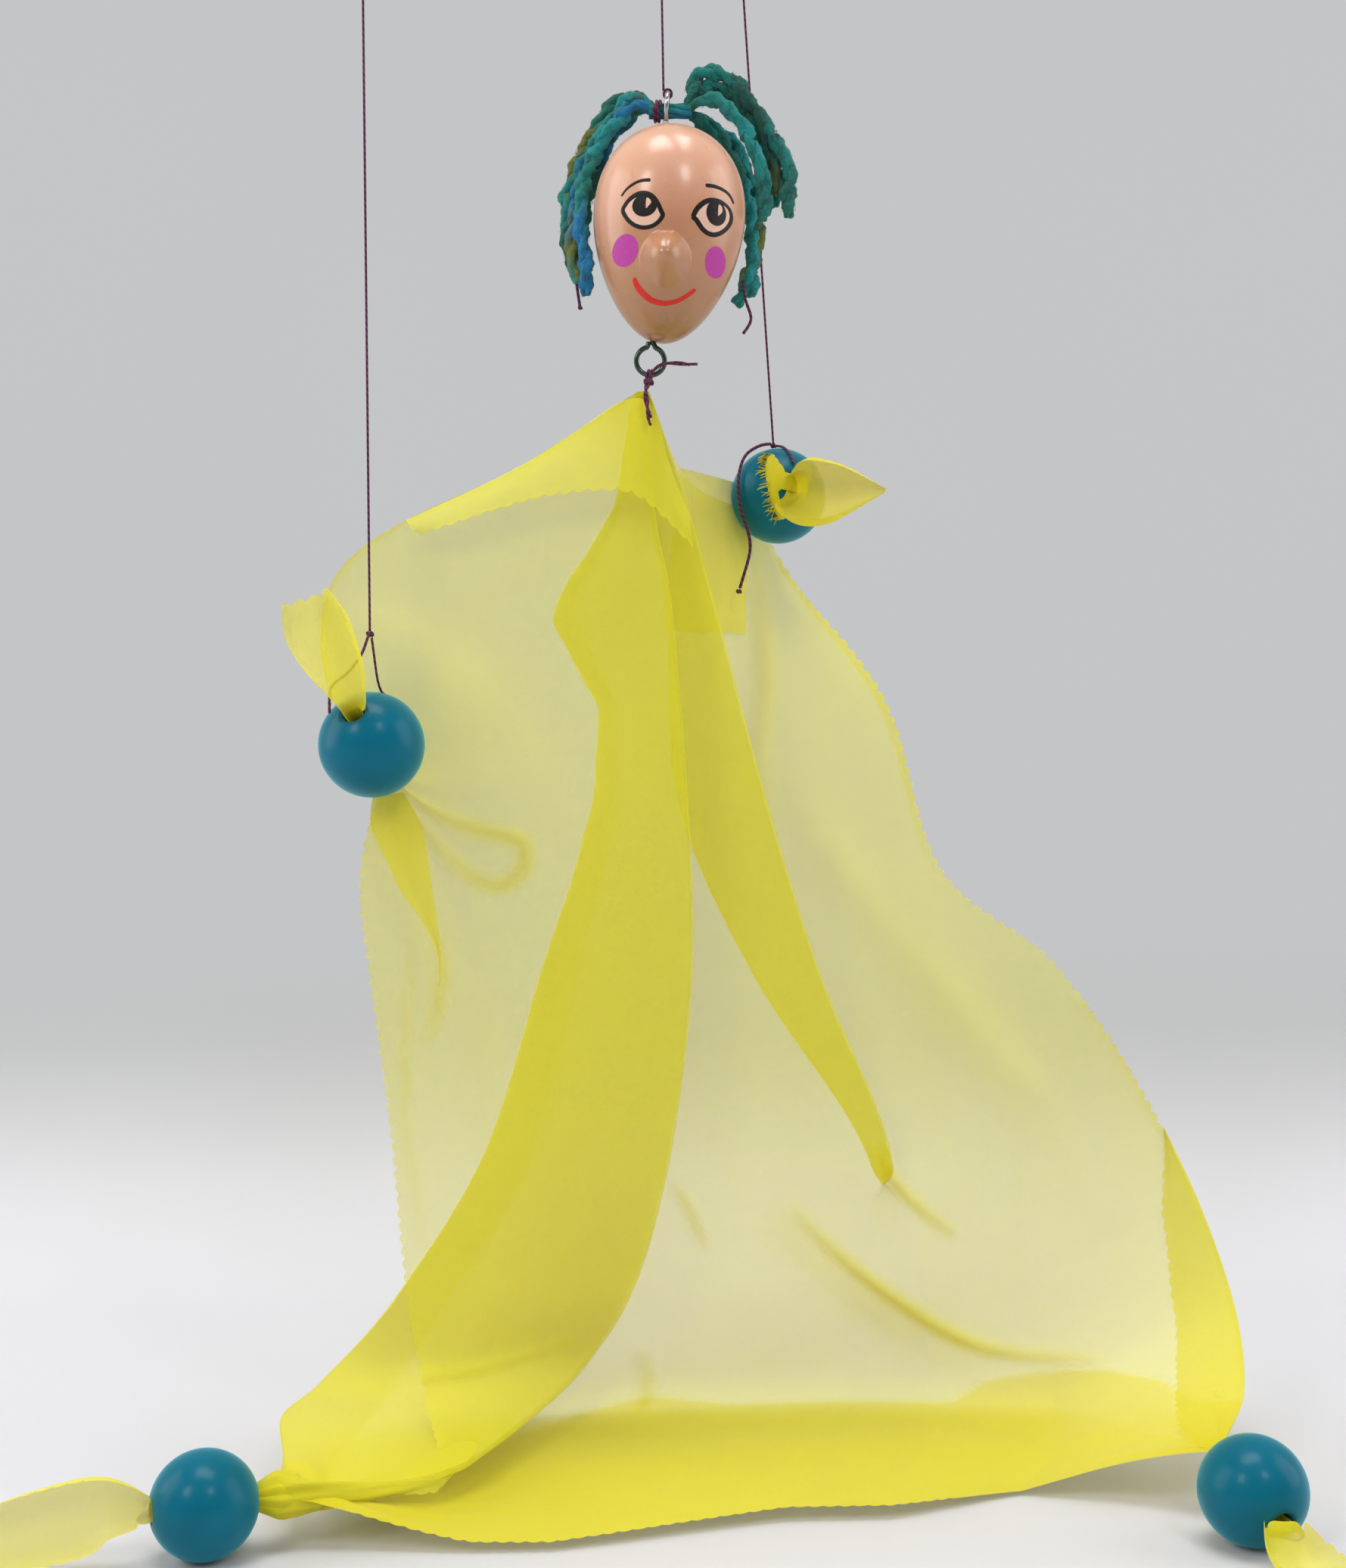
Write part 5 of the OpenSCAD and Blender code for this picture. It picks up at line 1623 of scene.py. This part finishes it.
@dataclass
class Robe:
    """One square of chiffon, hung from the neck, drawn into four beads and pleated down the front."""

    rows: int = 240
    hem: int = 9
    gap: float = 2.0
    lines: dict = field(default_factory=dict)
    owner: Optional[Array] = None
    share: Optional[Array] = None
    reach: tuple = (40, 20, 12, 14, 18, 30, 12, 28, 28)
    sag: tuple = (5, 0, 0, 0, 0, 0, 0, 0, 0)
    weave: float = 1.9
    widths: dict = field(default_factory=lambda: dict(zip(Share, (0.37, 0.09, 0.09, 0.08, 0.15, 0.12))))
    gaps: tuple = (0.5, 0.9, 1, 1, 1, 1, 1, 1, 1, 0.8)
    legs: tuple = (
        ("left_edge", 0, "a_front", 0), ("a_front", 1, "a_back", 0), ("a_back", 1, "left_tuck", 0),
        ("left_tuck", 0, "left_low", 0), ("left_low", 0, "middle", 0), ("middle", 0, "b_front", 0),
        ("b_front", 1, "b_back", 0), ("b_back", 1, "right_line", 0), ("right_line", 0, "right_edge", 0))

    def __post_init__(self) -> None:
        """Set the ten lines, each from the neck down to the hem."""
        n, heel, toe = NECK, BORES[Limb.LEFT_FOOT].back(), BORES[Limb.RIGHT_FOOT].back()
        cuff, wrist = BORES[Limb.LEFT_HAND].back(), BORES[Limb.RIGHT_HAND].back()
        self.lines = {k: np.array(v, float) for k, v in {
            "left_edge": [n + [-3.6, -1.8, -4.4], n + [-37, -2, -25], n + [-94, -3, -59], cuff + [-13, 3, -12],
                          [-92, 6, 156], [-88, 15, 107], [-86, 27, 57], [-81, 28, 25], [-72, -15, 9.5],
                          heel + [15.8, 3.2, 8.3]],
            "a_front": [n + [-0.6, -2, -4.2], n + [0.4, -2.4, -40], [-1, 0, 264], [3, 12, 205], [3, 28, 150],
                        [-5, 46, 92], [-18, 64, 46], [-37, 70, 18], [-65.4, -4.7, 14.4], heel + [27.4, -8.4, -1.6]],
            "a_back": [n + [-3.4, -0.4, -4.2], n + [-14.6, 2, -36], [-35, 10, 260], [-26, 20, 206], [-43, 38, 150],
                       [-63, 54, 92], [-94, 68, 44], [-116, 55, 22], [-122.1, 17.2, 20.6], heel + [15.5, 6.1, 2.6]],
            "left_tuck": [n + [-2.8, 0.7, -4.2], n + [-12.4, 4.6, -36.6], [-29, 13.4, 261], [-19, 23, 206],
                          [-32, 41, 150], [-47, 57.6, 92], [-76, 73, 44], [-98, 69, 11], [-106.7, 23.4, 4.2],
                          heel + [19.5, 9.8, -7.1]],
            "left_low": [n + [-2.2, 0.8, -4.2], n + [-9, 6, -37], [-22, 15, 262], [-10, 25.4, 206], [-18, 43, 150],
                         [-26, 60, 92], [-50, 76, 44], [-66, 77, 6], [-84, 14, 4], heel + [28, -6, -11.5]],
            "middle": [n + [-1.4, 0.9, -4.2], n + [-2, 6, -37], [-6, 14, 263], [6, 26, 205], [12, 43, 150],
                       [16, 62, 93], [0, 79, 46], [-10, 86, 5], [-34, 18, 4], [-38, -37, 3]],
            "b_front": [n + [-0.4, 0.8, -4.2], n + [9.6, 6, -36], [12, 14, 264], [27, 26, 205], [44, 43, 149],
                        [66, 60, 93], [70, 76, 48], [72, 84, 7.6], [64, 32, 6.6], [48, -17, 6]],
            "b_back": [n + [-3.2, 2.1, -4.2], n + [0, 11, -38], [-1, 22, 263], [2, 34, 204], [25, 49, 149],
                       [60, 65, 92], [69, 80, 47], [71, 88, 7.2], [63, 35, 6.0], [47, -17, 5.6]],
            "right_line": [n + [-1.8, 3.2, -4.2], n + [8, 18, -31], [12, 41, 278], [35, 49, 222], [56, 59, 166],
                           [94, 68, 121], [114, 78, 70], [122, 76, 8], [112, 28, 3], [98, 1, 1.6]],
            "right_edge": [n + [-0.2, 3.4, -4.2], n + [10, 26, -24.5], wrist + [-5, 2, -8], [67, 60, 240],
                           [86, 62, 182], [124, 64, 149], [158, 64, 94], [173, 48, 48], [167, 12, 26],
                           toe + [2, 9.8, 3]]}.items()}

    def behind(self, line: Array, s: Array, layers: int) -> Array:
        """Step back by whole layers, square to the run of the line in the plane that the cloth hangs in."""
        run = through(line, np.minimum(self.hem, s + 0.4)) - through(line, np.maximum(0, s - 0.4))
        way = unit(np.stack([np.zeros(len(s)), -run[:, 2], run[:, 1]], axis=1))
        return layers * self.gap * through([[g] for g in self.gaps], s) * way

    def line_at(self, name: str, s: Array) -> Array:
        """A line at the given rows; the left pleat has a sharp corner, so its lines move right above and below it."""
        right = np.interp(s, [0.3, 1.0, 1.5, 1.85, 2.0, 2.15, 2.5, 2.77, 3.2], [0, 5, 4, 1, 0, 3.4, 8.6, 3.7, 0])
        share = {"a_back": 1.0, "left_tuck": 0.75, "left_low": 0.35}.get(name, 0.0)
        return through(self.lines[name], s) + share * right[:, None] * [1, 0, 0]

    def leg(self, number: int, s: Array, t: Array) -> Array:
        """Points of one leg of the path: straight from its first line to its second, sagging like
        a sine between them."""
        first, front, second, rear = self.legs[number]
        a = self.line_at(first, s) + self.behind(self.lines[first], s, front)
        b = self.line_at(second, s) + self.behind(self.lines[second], s, rear)
        hang = self.sag[number] * np.sin(np.pi * t)[None, :] * np.sin(np.pi * np.minimum(1, s / self.hem))[:, None]
        return a[:, None] + (b - a)[:, None] * t[None, :, None] + hang[..., None] * [0, 1, 0]

    def sheet_points(self) -> Array:
        """The whole path at every row: the legs in turn, with a half circle at each fold."""
        s = np.linspace(0, self.hem, self.rows)
        parts, owner, share = [], [], []
        for number, count in enumerate(self.reach):
            last = number == len(self.legs) - 1
            folds = not last and self.legs[number + 1][1] == 1
            t = np.linspace(0, 1, count + 1)
            t = t if folds or last else t[:-1]
            parts.append(self.leg(number, s, t))
            owner += [number] * (len(t) + 6 * folds)
            share += [*t, *([1.0] * (6 * folds))]
            if folds:
                p, q = self.leg(number, s, np.array([1.0]))[:, 0], self.leg(number + 1, s, np.array([0.0]))[:, 0]
                out = unit(p - self.leg(number, s, np.array([0.7]))[:, 0])
                out = out * np.linalg.norm(q - p, axis=1, keepdims=True) / 2
                a = np.linspace(0, np.pi, 8)[1:-1][None, :, None]
                parts.append((p + q)[:, None] / 2 + np.cos(a) * (p - q)[:, None] / 2 + np.sin(a) * out[:, None])
        self.owner, self.share = np.array(owner), np.array(share)
        return self.into_heel(self.run_out(np.concatenate(parts, axis=1), s), s)

    def run_out(self, grid: Array, s: Array) -> Array:
        """Low down the right pleat is gone: its columns lie evenly between its neighbours, which
        share out their step in depth."""
        pleat = (self.owner == 6) | ((self.owner == 5) & (self.share > 0.78))
        first, last = np.flatnonzero(pleat)[[0, -1]]
        last += 6
        gone = eased((s - 5.15) / 0.4)[:, None, None]
        step = (grid[:, last + 1] - grid[:, first - 1])[:, None] * [0, 0.5, 0.5] * gone
        grid = grid + step * (eased(self.share / 0.78) * (self.owner == 5))[None, :, None]
        grid = grid - step * ((1 - eased((self.share - 0.2) / 0.8)) * (self.owner == 7))[None, :, None]
        part = np.linspace(0, 1, last - first + 3)[1:-1][None, :, None]
        a, b = grid[:, first - 1][:, None], grid[:, last + 1][:, None]
        grid[:, first:last + 1] += (a + (b - a) * part - grid[:, first:last + 1]) * gone
        return grid

    def held(self) -> Array:
        """How firmly each column is drawn into the left foot: wholly in the first four legs, less
        and less along the fifth."""
        return np.where(self.owner < 4, 1.0, np.where(self.owner == 4, 1 - eased(self.share / 0.6), 0.0))

    def into_heel(self, grid: Array, s: Array) -> Array:
        """The lowest rows bunch to a wavy ring outside the left foot's bore and close to a small one inside it."""
        bore = BORES[Limb.LEFT_FOOT]
        way = unit(bore.way)
        side = unit(np.cross(way, [0, 0, 1.0]))
        turn = np.linspace(0, 2 * np.pi * 6, grid.shape[1])[:, None]
        around = np.cos(turn) * side + np.sin(turn) * np.cross(way, side)
        held = self.held()[None, :, None]
        bunch = bore.back() - way * 4.5 + (5.6 + 1.1 * np.sin(3.3 * turn)) * around
        grid = grid + (bunch[None] - grid) * (np.clip((s - 8.0) / 0.78, 0, 1) ** 1.3)[:, None, None] * held
        close = bore.back() + way * 4 + 2.4 * around
        return grid + (close[None] - grid) * eased((s - 8.76) / 0.22)[:, None, None] * held

    def drawn(self, grid: Array) -> Array:
        """Cloth near the other three beads goes into their bores: towards the mouth by a power of
        how near it lies."""
        for limb, nearest, reach in ((Limb.LEFT_HAND, 17.6, 44.0), (Limb.RIGHT_HAND, 9.6, 42.0),
                                     (Limb.RIGHT_FOOT, 10.4, 42.0)):
            bore = BORES[limb]
            far = np.linalg.norm(grid - bore.back(), axis=2)
            pull = np.clip((reach - far) / (reach - nearest), 0, 1)[..., None] ** 2.2
            grid = grid + (bore.back() + unit(bore.way) * 4 * pull**6 - grid) * pull
        return grid

    def creased(self, grid: Array) -> Array:
        """The sheet with its folds raised towards the camera."""
        return grid - self.folds(grid, "height")[..., None] * [0, 1, 0]

    def folds(self, grid: Array, what: str) -> Array:
        """Sum over the creases of their height or their layers of painted shade, in the legs that they cross."""
        seen = seen_flat(grid)
        total = np.zeros(grid.shape[:2])
        for crease in CREASES_WITH_PAINTED_SHADE:
            there = np.isin(self.owner, crease.legs)
            if there.any():
                total[:, there] += getattr(crease, what) * crease.strength(seen[:, there])
        return total

    def along_table(self, grid: Array) -> Array:
        """Extra cover below the bend where the cloth comes down on the table and is seen along its length."""
        seen = seen_flat(grid)
        bend = np.interp(seen[..., 0], [-75, -46, -11, 13.5, 46, 78, 89, 110, 125, 139, 150],
                         [17, 24, 32.5, 29.5, 30, 29, 35.5, 38, 37.5, 34.5, 28])
        return 1.15 * eased((bend - seen[..., 1]) / 2.0) * (self.owner > 3) * eased((30 - grid[..., 2]) / 8)

    def between(self, first: Places, second: Places, rows: int = 40) -> Array:
        """A small strip of cloth with two free edges: straight from one curve to the other,
        bellied towards the camera."""
        where = np.linspace(0, len(first) - 1, rows)
        part = np.linspace(0, 1, 14)[None, :, None]
        a, b = through(first, where)[:, None], through(second, where)[:, None]
        return a + (b - a) * part - np.sin(np.pi * part) * [0, 1, 0]

    def turned_strip(self) -> Array:
        """The right edge folded over to the front from its twist to the foot: shares of the
        strip's width in each row of the last leg."""
        s = np.linspace(5.95, 8.9, 76)
        wide = np.interp(s, [5.95, 6.35, 6.8, 7.3, 7.8, 8.4, 8.9], [0.4, 13, 20.5, 24, 23, 19, 12])
        rows = self.leg(8, s, np.array([0.0, 1.0]))
        long = np.linalg.norm(rows[:, 1] - rows[:, 0], axis=1)
        part = np.linspace(0, 1, 18)[None, :]
        t = 1 - part * (wide / long)[:, None]
        grid = rows[:, :1] + (rows[:, 1:] - rows[:, :1]) * t[..., None]
        ahead = 1.6 * np.sqrt(np.minimum(1, part * 6)) + 0.5 * np.sin(9 * part + s[:, None]) * part
        return grid - ahead[..., None] * [0, 1, 0]

    def ripples(self, grid: Array) -> Array:
        """Small folds along the cloth's own slope: sines of the column that fade away from the
        neck, and of the turn round each bead that fade from it."""
        rows, cols = grid.shape[:2]
        down = np.linspace(0, 1, rows)[:, None]
        over = np.linspace(0, 1, cols)[None, :]
        room = np.minimum(1, np.linalg.norm(np.gradient(grid, axis=1), axis=2) / 1.2)
        lift = 0.5 * np.sin(2 * np.pi * (17 * over + 0.4 * np.sin(3 * down))) * np.exp(-down * 5) * room
        lift = lift + 1.1 * np.sin(2 * np.pi * (5.2 * over + 1.1 * down)) * np.sin(np.pi * down) * room * (over < 0.2)
        for limb in (Limb.LEFT_FOOT, Limb.RIGHT_FOOT, Limb.RIGHT_HAND, Limb.LEFT_HAND):
            away = grid - BORES[limb].back()
            far = np.linalg.norm(away, axis=2)
            way = unit(BORES[limb].way)
            side = unit(np.cross(way, [0.2, 0.3, 0.93]))
            turn = np.arctan2(away @ np.cross(way, side), away @ side)
            lift = lift + 1.1 * np.sin(11 * turn + 0.05 * far) * np.exp(-far / 30) * np.clip(far / 14, 0, 1) * room
        return grid + lift[..., None] * slopes(grid)

    def collar_points(self) -> Array:
        """The strip above the neck, folded down over the front: straight from its fold to its cut
        edge, bellied forwards."""
        start = through(self.lines["left_edge"], np.array([1.56, 1.25, 0.95, 0.62, 0.2]))
        fold = np.concatenate([start, NECK + np.array([[0.8, -6, -9.6], [5.6, -5.6, -26.6], [11, -4, -41]])])
        edge = NECK + np.array([[-68.2, -5.6, -46.0], [-57, -8.5, -43], [-45, -9.4, -39.4], [-28, -10, -35.6],
                                [-10, -10.4, -34.6], [-1.4, -9.6, -38], [7, -8.2, -46], [12, -6.4, -51]])
        where = np.linspace(0, 7, 90)
        part = np.linspace(0, 1, 26)[:, None, None]
        a, b = through(fold, where)[None], through(edge, where)[None]
        return a + (b - a) * part - 1.2 * np.sin(np.pi * part) * [0, 1, 0]

    def gathered(self, grid: Array) -> Array:
        """How many thicknesses lie at each point: one, rising near the neck and the beads."""
        layers = 1 + 1.6 * np.exp(-np.linalg.norm(grid - (NECK + [0, 0, -4]), axis=2) / 14)
        for limb, amount in ((Limb.LEFT_FOOT, 1.6), (Limb.RIGHT_FOOT, 2.2), (Limb.LEFT_HAND, 0.9),
                             (Limb.RIGHT_HAND, 0.9)):
            layers = layers + amount * np.exp(-np.linalg.norm(grid - BORES[limb].back(), axis=2) / 16)
        return layers

    def chosen(self, grid: Array, share: Share) -> Array:
        """Which faces belong to a part: those with a point past its start, and for the body those
        that no other part takes."""
        if share is Share.BODY:
            others = [self.chosen(grid, s) for s in Share if s is not Share.BODY]
            return ~np.any(others, axis=0)
        start, end = np.array(share.value[1]), np.array(share.value[2])
        past = (grid - start) @ unit(end - start) > 0
        if share in (Share.LEFT_HAND, Share.RIGHT_HAND):
            past &= grid[..., 2] > 120
        if share is Share.NECK:
            past &= grid[..., 1] < 36
        return past[:-1, :-1] | past[1:, :-1] | past[:-1, 1:] | past[1:, 1:]

    def square(self) -> Sheet:
        """The hung square; its covers count the creases' painted shade, the rolled or doubled edges and
        what lies along the table."""
        plain = self.sheet_points()
        grid = self.drawn(self.creased(self.ripples(plain)))
        s = np.linspace(0, self.hem, self.rows)[:, None]
        over = np.arange(grid.shape[1])[None, :]
        off, run = cut_edges(grid, True, True, True)
        folded_left = (s < 2.7) & (over < 40)
        folded_right = (s > 5.95) & (over > grid.shape[1] - 40)
        smooth = folded_left | folded_right | ((s > 8.5) & (self.held()[None, :] > 0.3))
        rolled = 0.9 * np.exp(-(off / 1.6) ** 2) * (smooth & (s < 7.9))
        doubled = 0.8 * (off < 3.2) * eased((4.4 - s) / 1.4) * ((s > 2.3) & (over > 150))
        pleated = 0.6 * np.isin(self.owner, (1, 2, 6)) * (1 - (self.owner == 6) * eased((s - 5) / 0.8))
        covers = self.folds(plain, "layers") + (rolled + doubled + pleated) + self.along_table(plain)
        return Sheet(grid, np.where(smooth, NO_EDGE, off), run, covers)

    def strips(self) -> list[Sheet]:
        """The collar, the right edge's turned strip, and at the hands the twisted ribbon and the small wing."""
        collar = self.collar_points()
        off, run = cut_edges(collar, False, False, True)
        sheets = [Sheet(collar, off, run, 0.5 * np.exp(-(off / 1.5) ** 2))]
        turned = self.drawn(self.turned_strip())
        sheets.append(Sheet(turned, *cut_edges(turned, False, True, False), 0.8 + 0 * turned[..., 0]))
        twist = self.between(
            [[-87.3, -11, 209], [-88.1, -11, 201.6], [-86.6, -10, 196.1], [-83.2, -8, 188.2], [-80, -6, 180.6],
             [-74.6, -4, 172.3], [-70.5, -2, 162], [-70.4, -1, 153]],
            [[-78.4, -11, 210], [-74.9, -11, 203.6], [-72.8, -10, 198.1], [-71.9, -8, 189.1], [-71.1, -6, 180.5],
             [-70.2, -4, 172.2], [-69.6, -2, 162], [-69.9, -1, 153]])
        wing = self.between(
            [[-3, 30, 258], [-2, 30, 270], [0, 28, 285], [2, 26, 300], [3, 24, 307.5]],
            [[23, 46, 258], [23.5, 48, 270], [24.5, 52, 285], [27, 57, 299], [27.5, 60, 306]])
        for grid, covers in ((twist, 0.9), (wing, 0.7)):
            far = np.full(grid.shape[:2], NO_EDGE)
            sheets.append(Sheet(grid, far, far, covers + 0 * far))
        return sheets

    def build_part(self, share: Share, sheets: Sequence[Sheet], finishes: Finishes) -> None:
        shell, area = Shell(), 0.0
        for sheet in sheets:
            keep = self.chosen(sheet.grid, share)
            if not keep.any():
                continue
            area += area_of(sheet.grid, keep)
            i, j = np.nonzero(keep)
            top, low, left, right = i.min(), i.max() + 2, j.min(), j.max() + 2
            cut = (slice(top, low), slice(left, right))
            shell.add(metres(sheet.grid[cut]), keep=keep[top:low - 1, left:right - 1],
                      uv=(np.arange(top, low + 1) * self.weave, np.arange(left, right + 1) * self.weave),
                      normals=slopes(sheet.grid)[cut], layers=(self.gathered(sheet.grid) + sheet.covers)[cut],
                      edge_off=sheet.off[cut], edge_run=sheet.run[cut])
        name = f"robe_{share.name.lower()}"
        piece = shell.piece(name, finishes.chiffon, "chiffon")
        body, start, end = share.value
        if start is None:
            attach(piece, body)
        else:
            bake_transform(piece)
        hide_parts("robe")

    def build(self, finishes: Finishes) -> None:
        """Cut the square and its strips into parts that meet without a seam; only the body part rides on a body, the
        control.
        """
        sheets = [self.square(), *self.strips()]
        for share in Share:
            self.build_part(share, sheets, finishes)


@dataclass
class Fan:
    """A gathered corner of the cloth: a pleated strip whose folds open from a bore to a cut end."""

    name: str
    limb: Limb
    places: Places
    widths: Places
    side: tuple[float, float, float]
    folds: float = 1.6
    curl: float = 1.5
    close: float = 3.4
    open: float = 1.7
    flat: tuple[float, float] = (0.05, 0.04)
    pinked: bool = True
    fringe: int = 0

    def grid(self) -> Array:
        """Points: each row is an arc of the given half angle, open towards the camera, rippled by
        a sine of the way across."""
        where = np.linspace(0, len(self.places) - 1, 60)
        path = through(self.places, where)
        half = np.maximum(through(self.widths, where), 0.3)
        run = unit(np.gradient(path, axis=0))
        wide = unit(np.array(self.side) - run * (run @ np.array(self.side))[:, None])
        deep = np.cross(run, wide)
        deep = deep * np.where(deep[:, 1:2] > 0, -1.0, 1.0)
        u = np.linspace(-1, 1, 72)
        down = np.linspace(0, 1, len(where))[:, None]
        arc = self.curl * (0.8 + 0.35 * np.sin(2.6 * down)) * u[None, :]
        scale = 1 / math.sin(min(self.curl, math.pi / 2))
        over = half[:, :1] * scale * np.sin(arc)
        rise = half[:, :1] * scale * (0.5 - np.cos(arc) - 0.5 * math.cos(self.curl))
        swing = np.sin(np.pi * self.folds * u[None, :] + 2.2 * down + 0.5) * half[:, 1:2]
        return path[:, None] + over[..., None] * wide[:, None] + (rise + 0.6 * swing)[..., None] * deep[:, None]

    def build(self, finishes: Finishes) -> None:
        grid = self.on_bead(self.grid(), BEAD_RADIUS + 0.45) if self.fringe else self.grid()
        off, run = cut_edges(grid, self.pinked, self.pinked, self.pinked)
        if not self.pinked:
            off = off * 0 + NO_EDGE
        down = np.linspace(0, 1, len(grid))[:, None]
        off = off + 3.0 * (1 - eased((down - 0.58) / 0.1))
        layers = (self.close + (self.open - self.close) * np.minimum(1, down * 1.6)) + 0 * off
        shell = Shell().add(metres(grid), normals=slopes(grid), uv=(np.arange(61) * 0.8, np.arange(73) * 0.55),
                            layers=layers, edge_off=off, edge_run=run)
        piece = shell.piece(self.name, finishes.chiffon, "chiffon")
        loose = [self.threads(grid, finishes)] if self.fringe else []
        for thing in (piece, *loose):
            settle(thing, self.limb.value, f"{self.limb.value}_cloth")
        area = area_of(grid, np.ones((len(grid) - 1, grid.shape[1] - 1), bool))
        wide, long = self.flat
        wide, long = (max(v, v * math.sqrt(area / (0.9 * wide * long))) for v in (wide, long))
        LOG.info("%s: %.5f square metres cut from %.3f by %.3f", self.name, area, wide, long)

    def on_bead(self, points: Array, least: float) -> Array:
        """The points with those inside the bead pushed straight out to the least distance from its middle."""
        middle = np.array(BORES[self.limb].middle)
        away = points - middle
        return middle + away * np.maximum(1, least / np.linalg.norm(away, axis=-1, keepdims=True))

    def threads(self, grid: Array, finishes: Finishes) -> bpy.types.Object:
        """Loose threads at the cut end: thin tubes that leave its last row along the cloth, each
        with its own tilt."""
        shell, rng = Shell(), np.random.default_rng(7)
        at = rng.uniform(0, grid.shape[1] - 1.001, self.fringe)
        low = at.astype(int)
        root = grid[-1, low] + (grid[-1, low + 1] - grid[-1, low]) * (at - low)[:, None]
        away = unit(unit(grid[-1] - grid[-8])[low] + rng.normal(0, 0.5, (self.fringe, 3)) + [0, -0.25, 0])
        for start, way, long in zip(root, away, rng.uniform(1.0, 3.6, self.fringe)):
            fall = [0, 0, -0.1] * np.linspace(0, long, 5)[:, None] ** 2
            path = self.on_bead(start + way * np.linspace(-0.4, long, 5)[:, None] + fall, BEAD_RADIUS + 0.6)
            ring = tube_grid(metres(path), np.array([0.17, 0.17, 0.15, 0.12, 0.05]) / 1000, 4)
            flat = np.full(ring.shape[:2], 3.0)
            shell.add(ring, wrap=True, normals=slopes(ring), layers=flat, edge_off=flat * 33, edge_run=flat)
        return shell.piece(f"threads_of_{self.name}", finishes.chiffon, "chiffon")


def corner(
    name: str,
    limb: Limb,
    steps: Places,
    widths: Places,
    side: tuple[float, float, float],
    bends: tuple[float, float],
    flat: tuple[float, float],
    **more: object,
) -> Fan:
    """A corner drawn through a bead.

    Args:
        name: name of the piece.
        limb: the bead.
        steps: its route from the bore's front on, measured from there.
        widths: half width and depth of its folds, at the bore's front and at each step.
        side: the direction that it is wide in.
        bends: number of folds and half angle of the arc.
        flat: size that it was cut to, in metres.
        more: other fields of the fan.

    Returns:
        The fan, whose route starts deep in the bore.
    """
    front, way = BORES[limb].front(), unit(BORES[limb].way)
    route = [*(front - way * deep for deep in (28, 9, 2.6)), front, *(front + np.array(steps))]
    inside = [[1.9, 0.5], [1.9, 0.5], [2.3, 0.6]]
    return Fan(name, limb, route, [*inside, *widths], side, *bends, flat=flat, **more)


def corner_fans() -> list[Fan]:
    """The four drawn-through corners, and the frayed lip that lies on the right hand's bead."""
    front, way = BORES[Limb.RIGHT_HAND].front(), unit(BORES[Limb.RIGHT_HAND].way)
    lip = [front - way * 4, front, *(front + np.array([[-0.6, -1.8, 0.2], [-1.8, -2.8, 0.2], [-3.2, -3.2, 0.0]]))]
    return [
        corner("corner_of_left_hand", Limb.LEFT_HAND,
               [[0, -2, 3], [-2, -2.4, 9], [-5.5, -1.6, 16], [-9, -0.6, 23.5], [-12.4, 0.4, 32]],
               [[2.7, 0.9], [4.4, 1.2], [6.8, 1.8], [8.6, 2.4], [9.0, 2.6], [6.4, 1.6]],
               (1, 0, 0.5), (1.3, 1.7), (0.06, 0.08)),
        corner("corner_of_right_hand", Limb.RIGHT_HAND,
               [[1.6, -2.6, -1.4], [3.4, -4.6, -3.4], [8, -7, -4.6], [16, -9.6, -4.4], [26.6, -13.4, -4.6]],
               [[2.7, 0.9], [5.0, 1.4], [9.4, 2.0], [10.4, 2.4], [7.4, 1.8], [0.6, 0.3]],
               (0, 0, 1), (1.2, 1.9), (0.06, 0.07), open=2.3, pinked=False),
        Fan("frayed_lip_of_right_hand", Limb.RIGHT_HAND, lip,
            [[1.6, 0.4], [2.6, 0.5], [4.8, 0.5], [6.6, 0.5], [7.8, 0.4]],
            (0.22, 0, 1), 0.8, 0.6, open=2.3, flat=(0.026, 0.026), pinked=False, fringe=64),
        corner("corner_of_left_foot", Limb.LEFT_FOOT,
               [[-2, -1.0, 1.2], [-11, -3.6, 3], [-20, -5, 0.6], [-35, -7, -2.4], [-56, -8, -7.4]],
               [[2.7, 0.9], [4.8, 1.4], [8.6, 2.2], [10.4, 2.6], [9.4, 2.0], [5.4, 1.0]],
               (0, 0, 1), (1.5, 1.4), (0.07, 0.1)),
        corner("corner_of_right_foot", Limb.RIGHT_FOOT,
               [[-1.2, -4.4, 0.4], [-0.4, -11, -3.2], [2, -20, -5.0], [5, -35, -7.4]],
               [[2.7, 0.9], [5.6, 1.4], [7.6, 1.4], [8.6, 1.2], [8.0, 0.8]], (1, 0, 0), (1.5, 1.4), (0.06, 0.08)),
    ]


def main() -> None:
    """Build the camera and the cords first, then every other sub-assembly."""
    logging.basicConfig(level=logging.INFO, format="%(name)s: %(message)s")
    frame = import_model()
    Studio().build()
    finishes = Finishes.made()
    Strings(finishes).build()
    Control().build(frame, finishes)
    Head().build(finishes)
    Hair().build(finishes)
    Beads().build(finishes)
    Robe().build(finishes)
    for fan in corner_fans():
        fan.build(finishes)


if __name__ == "__main__":
    main()
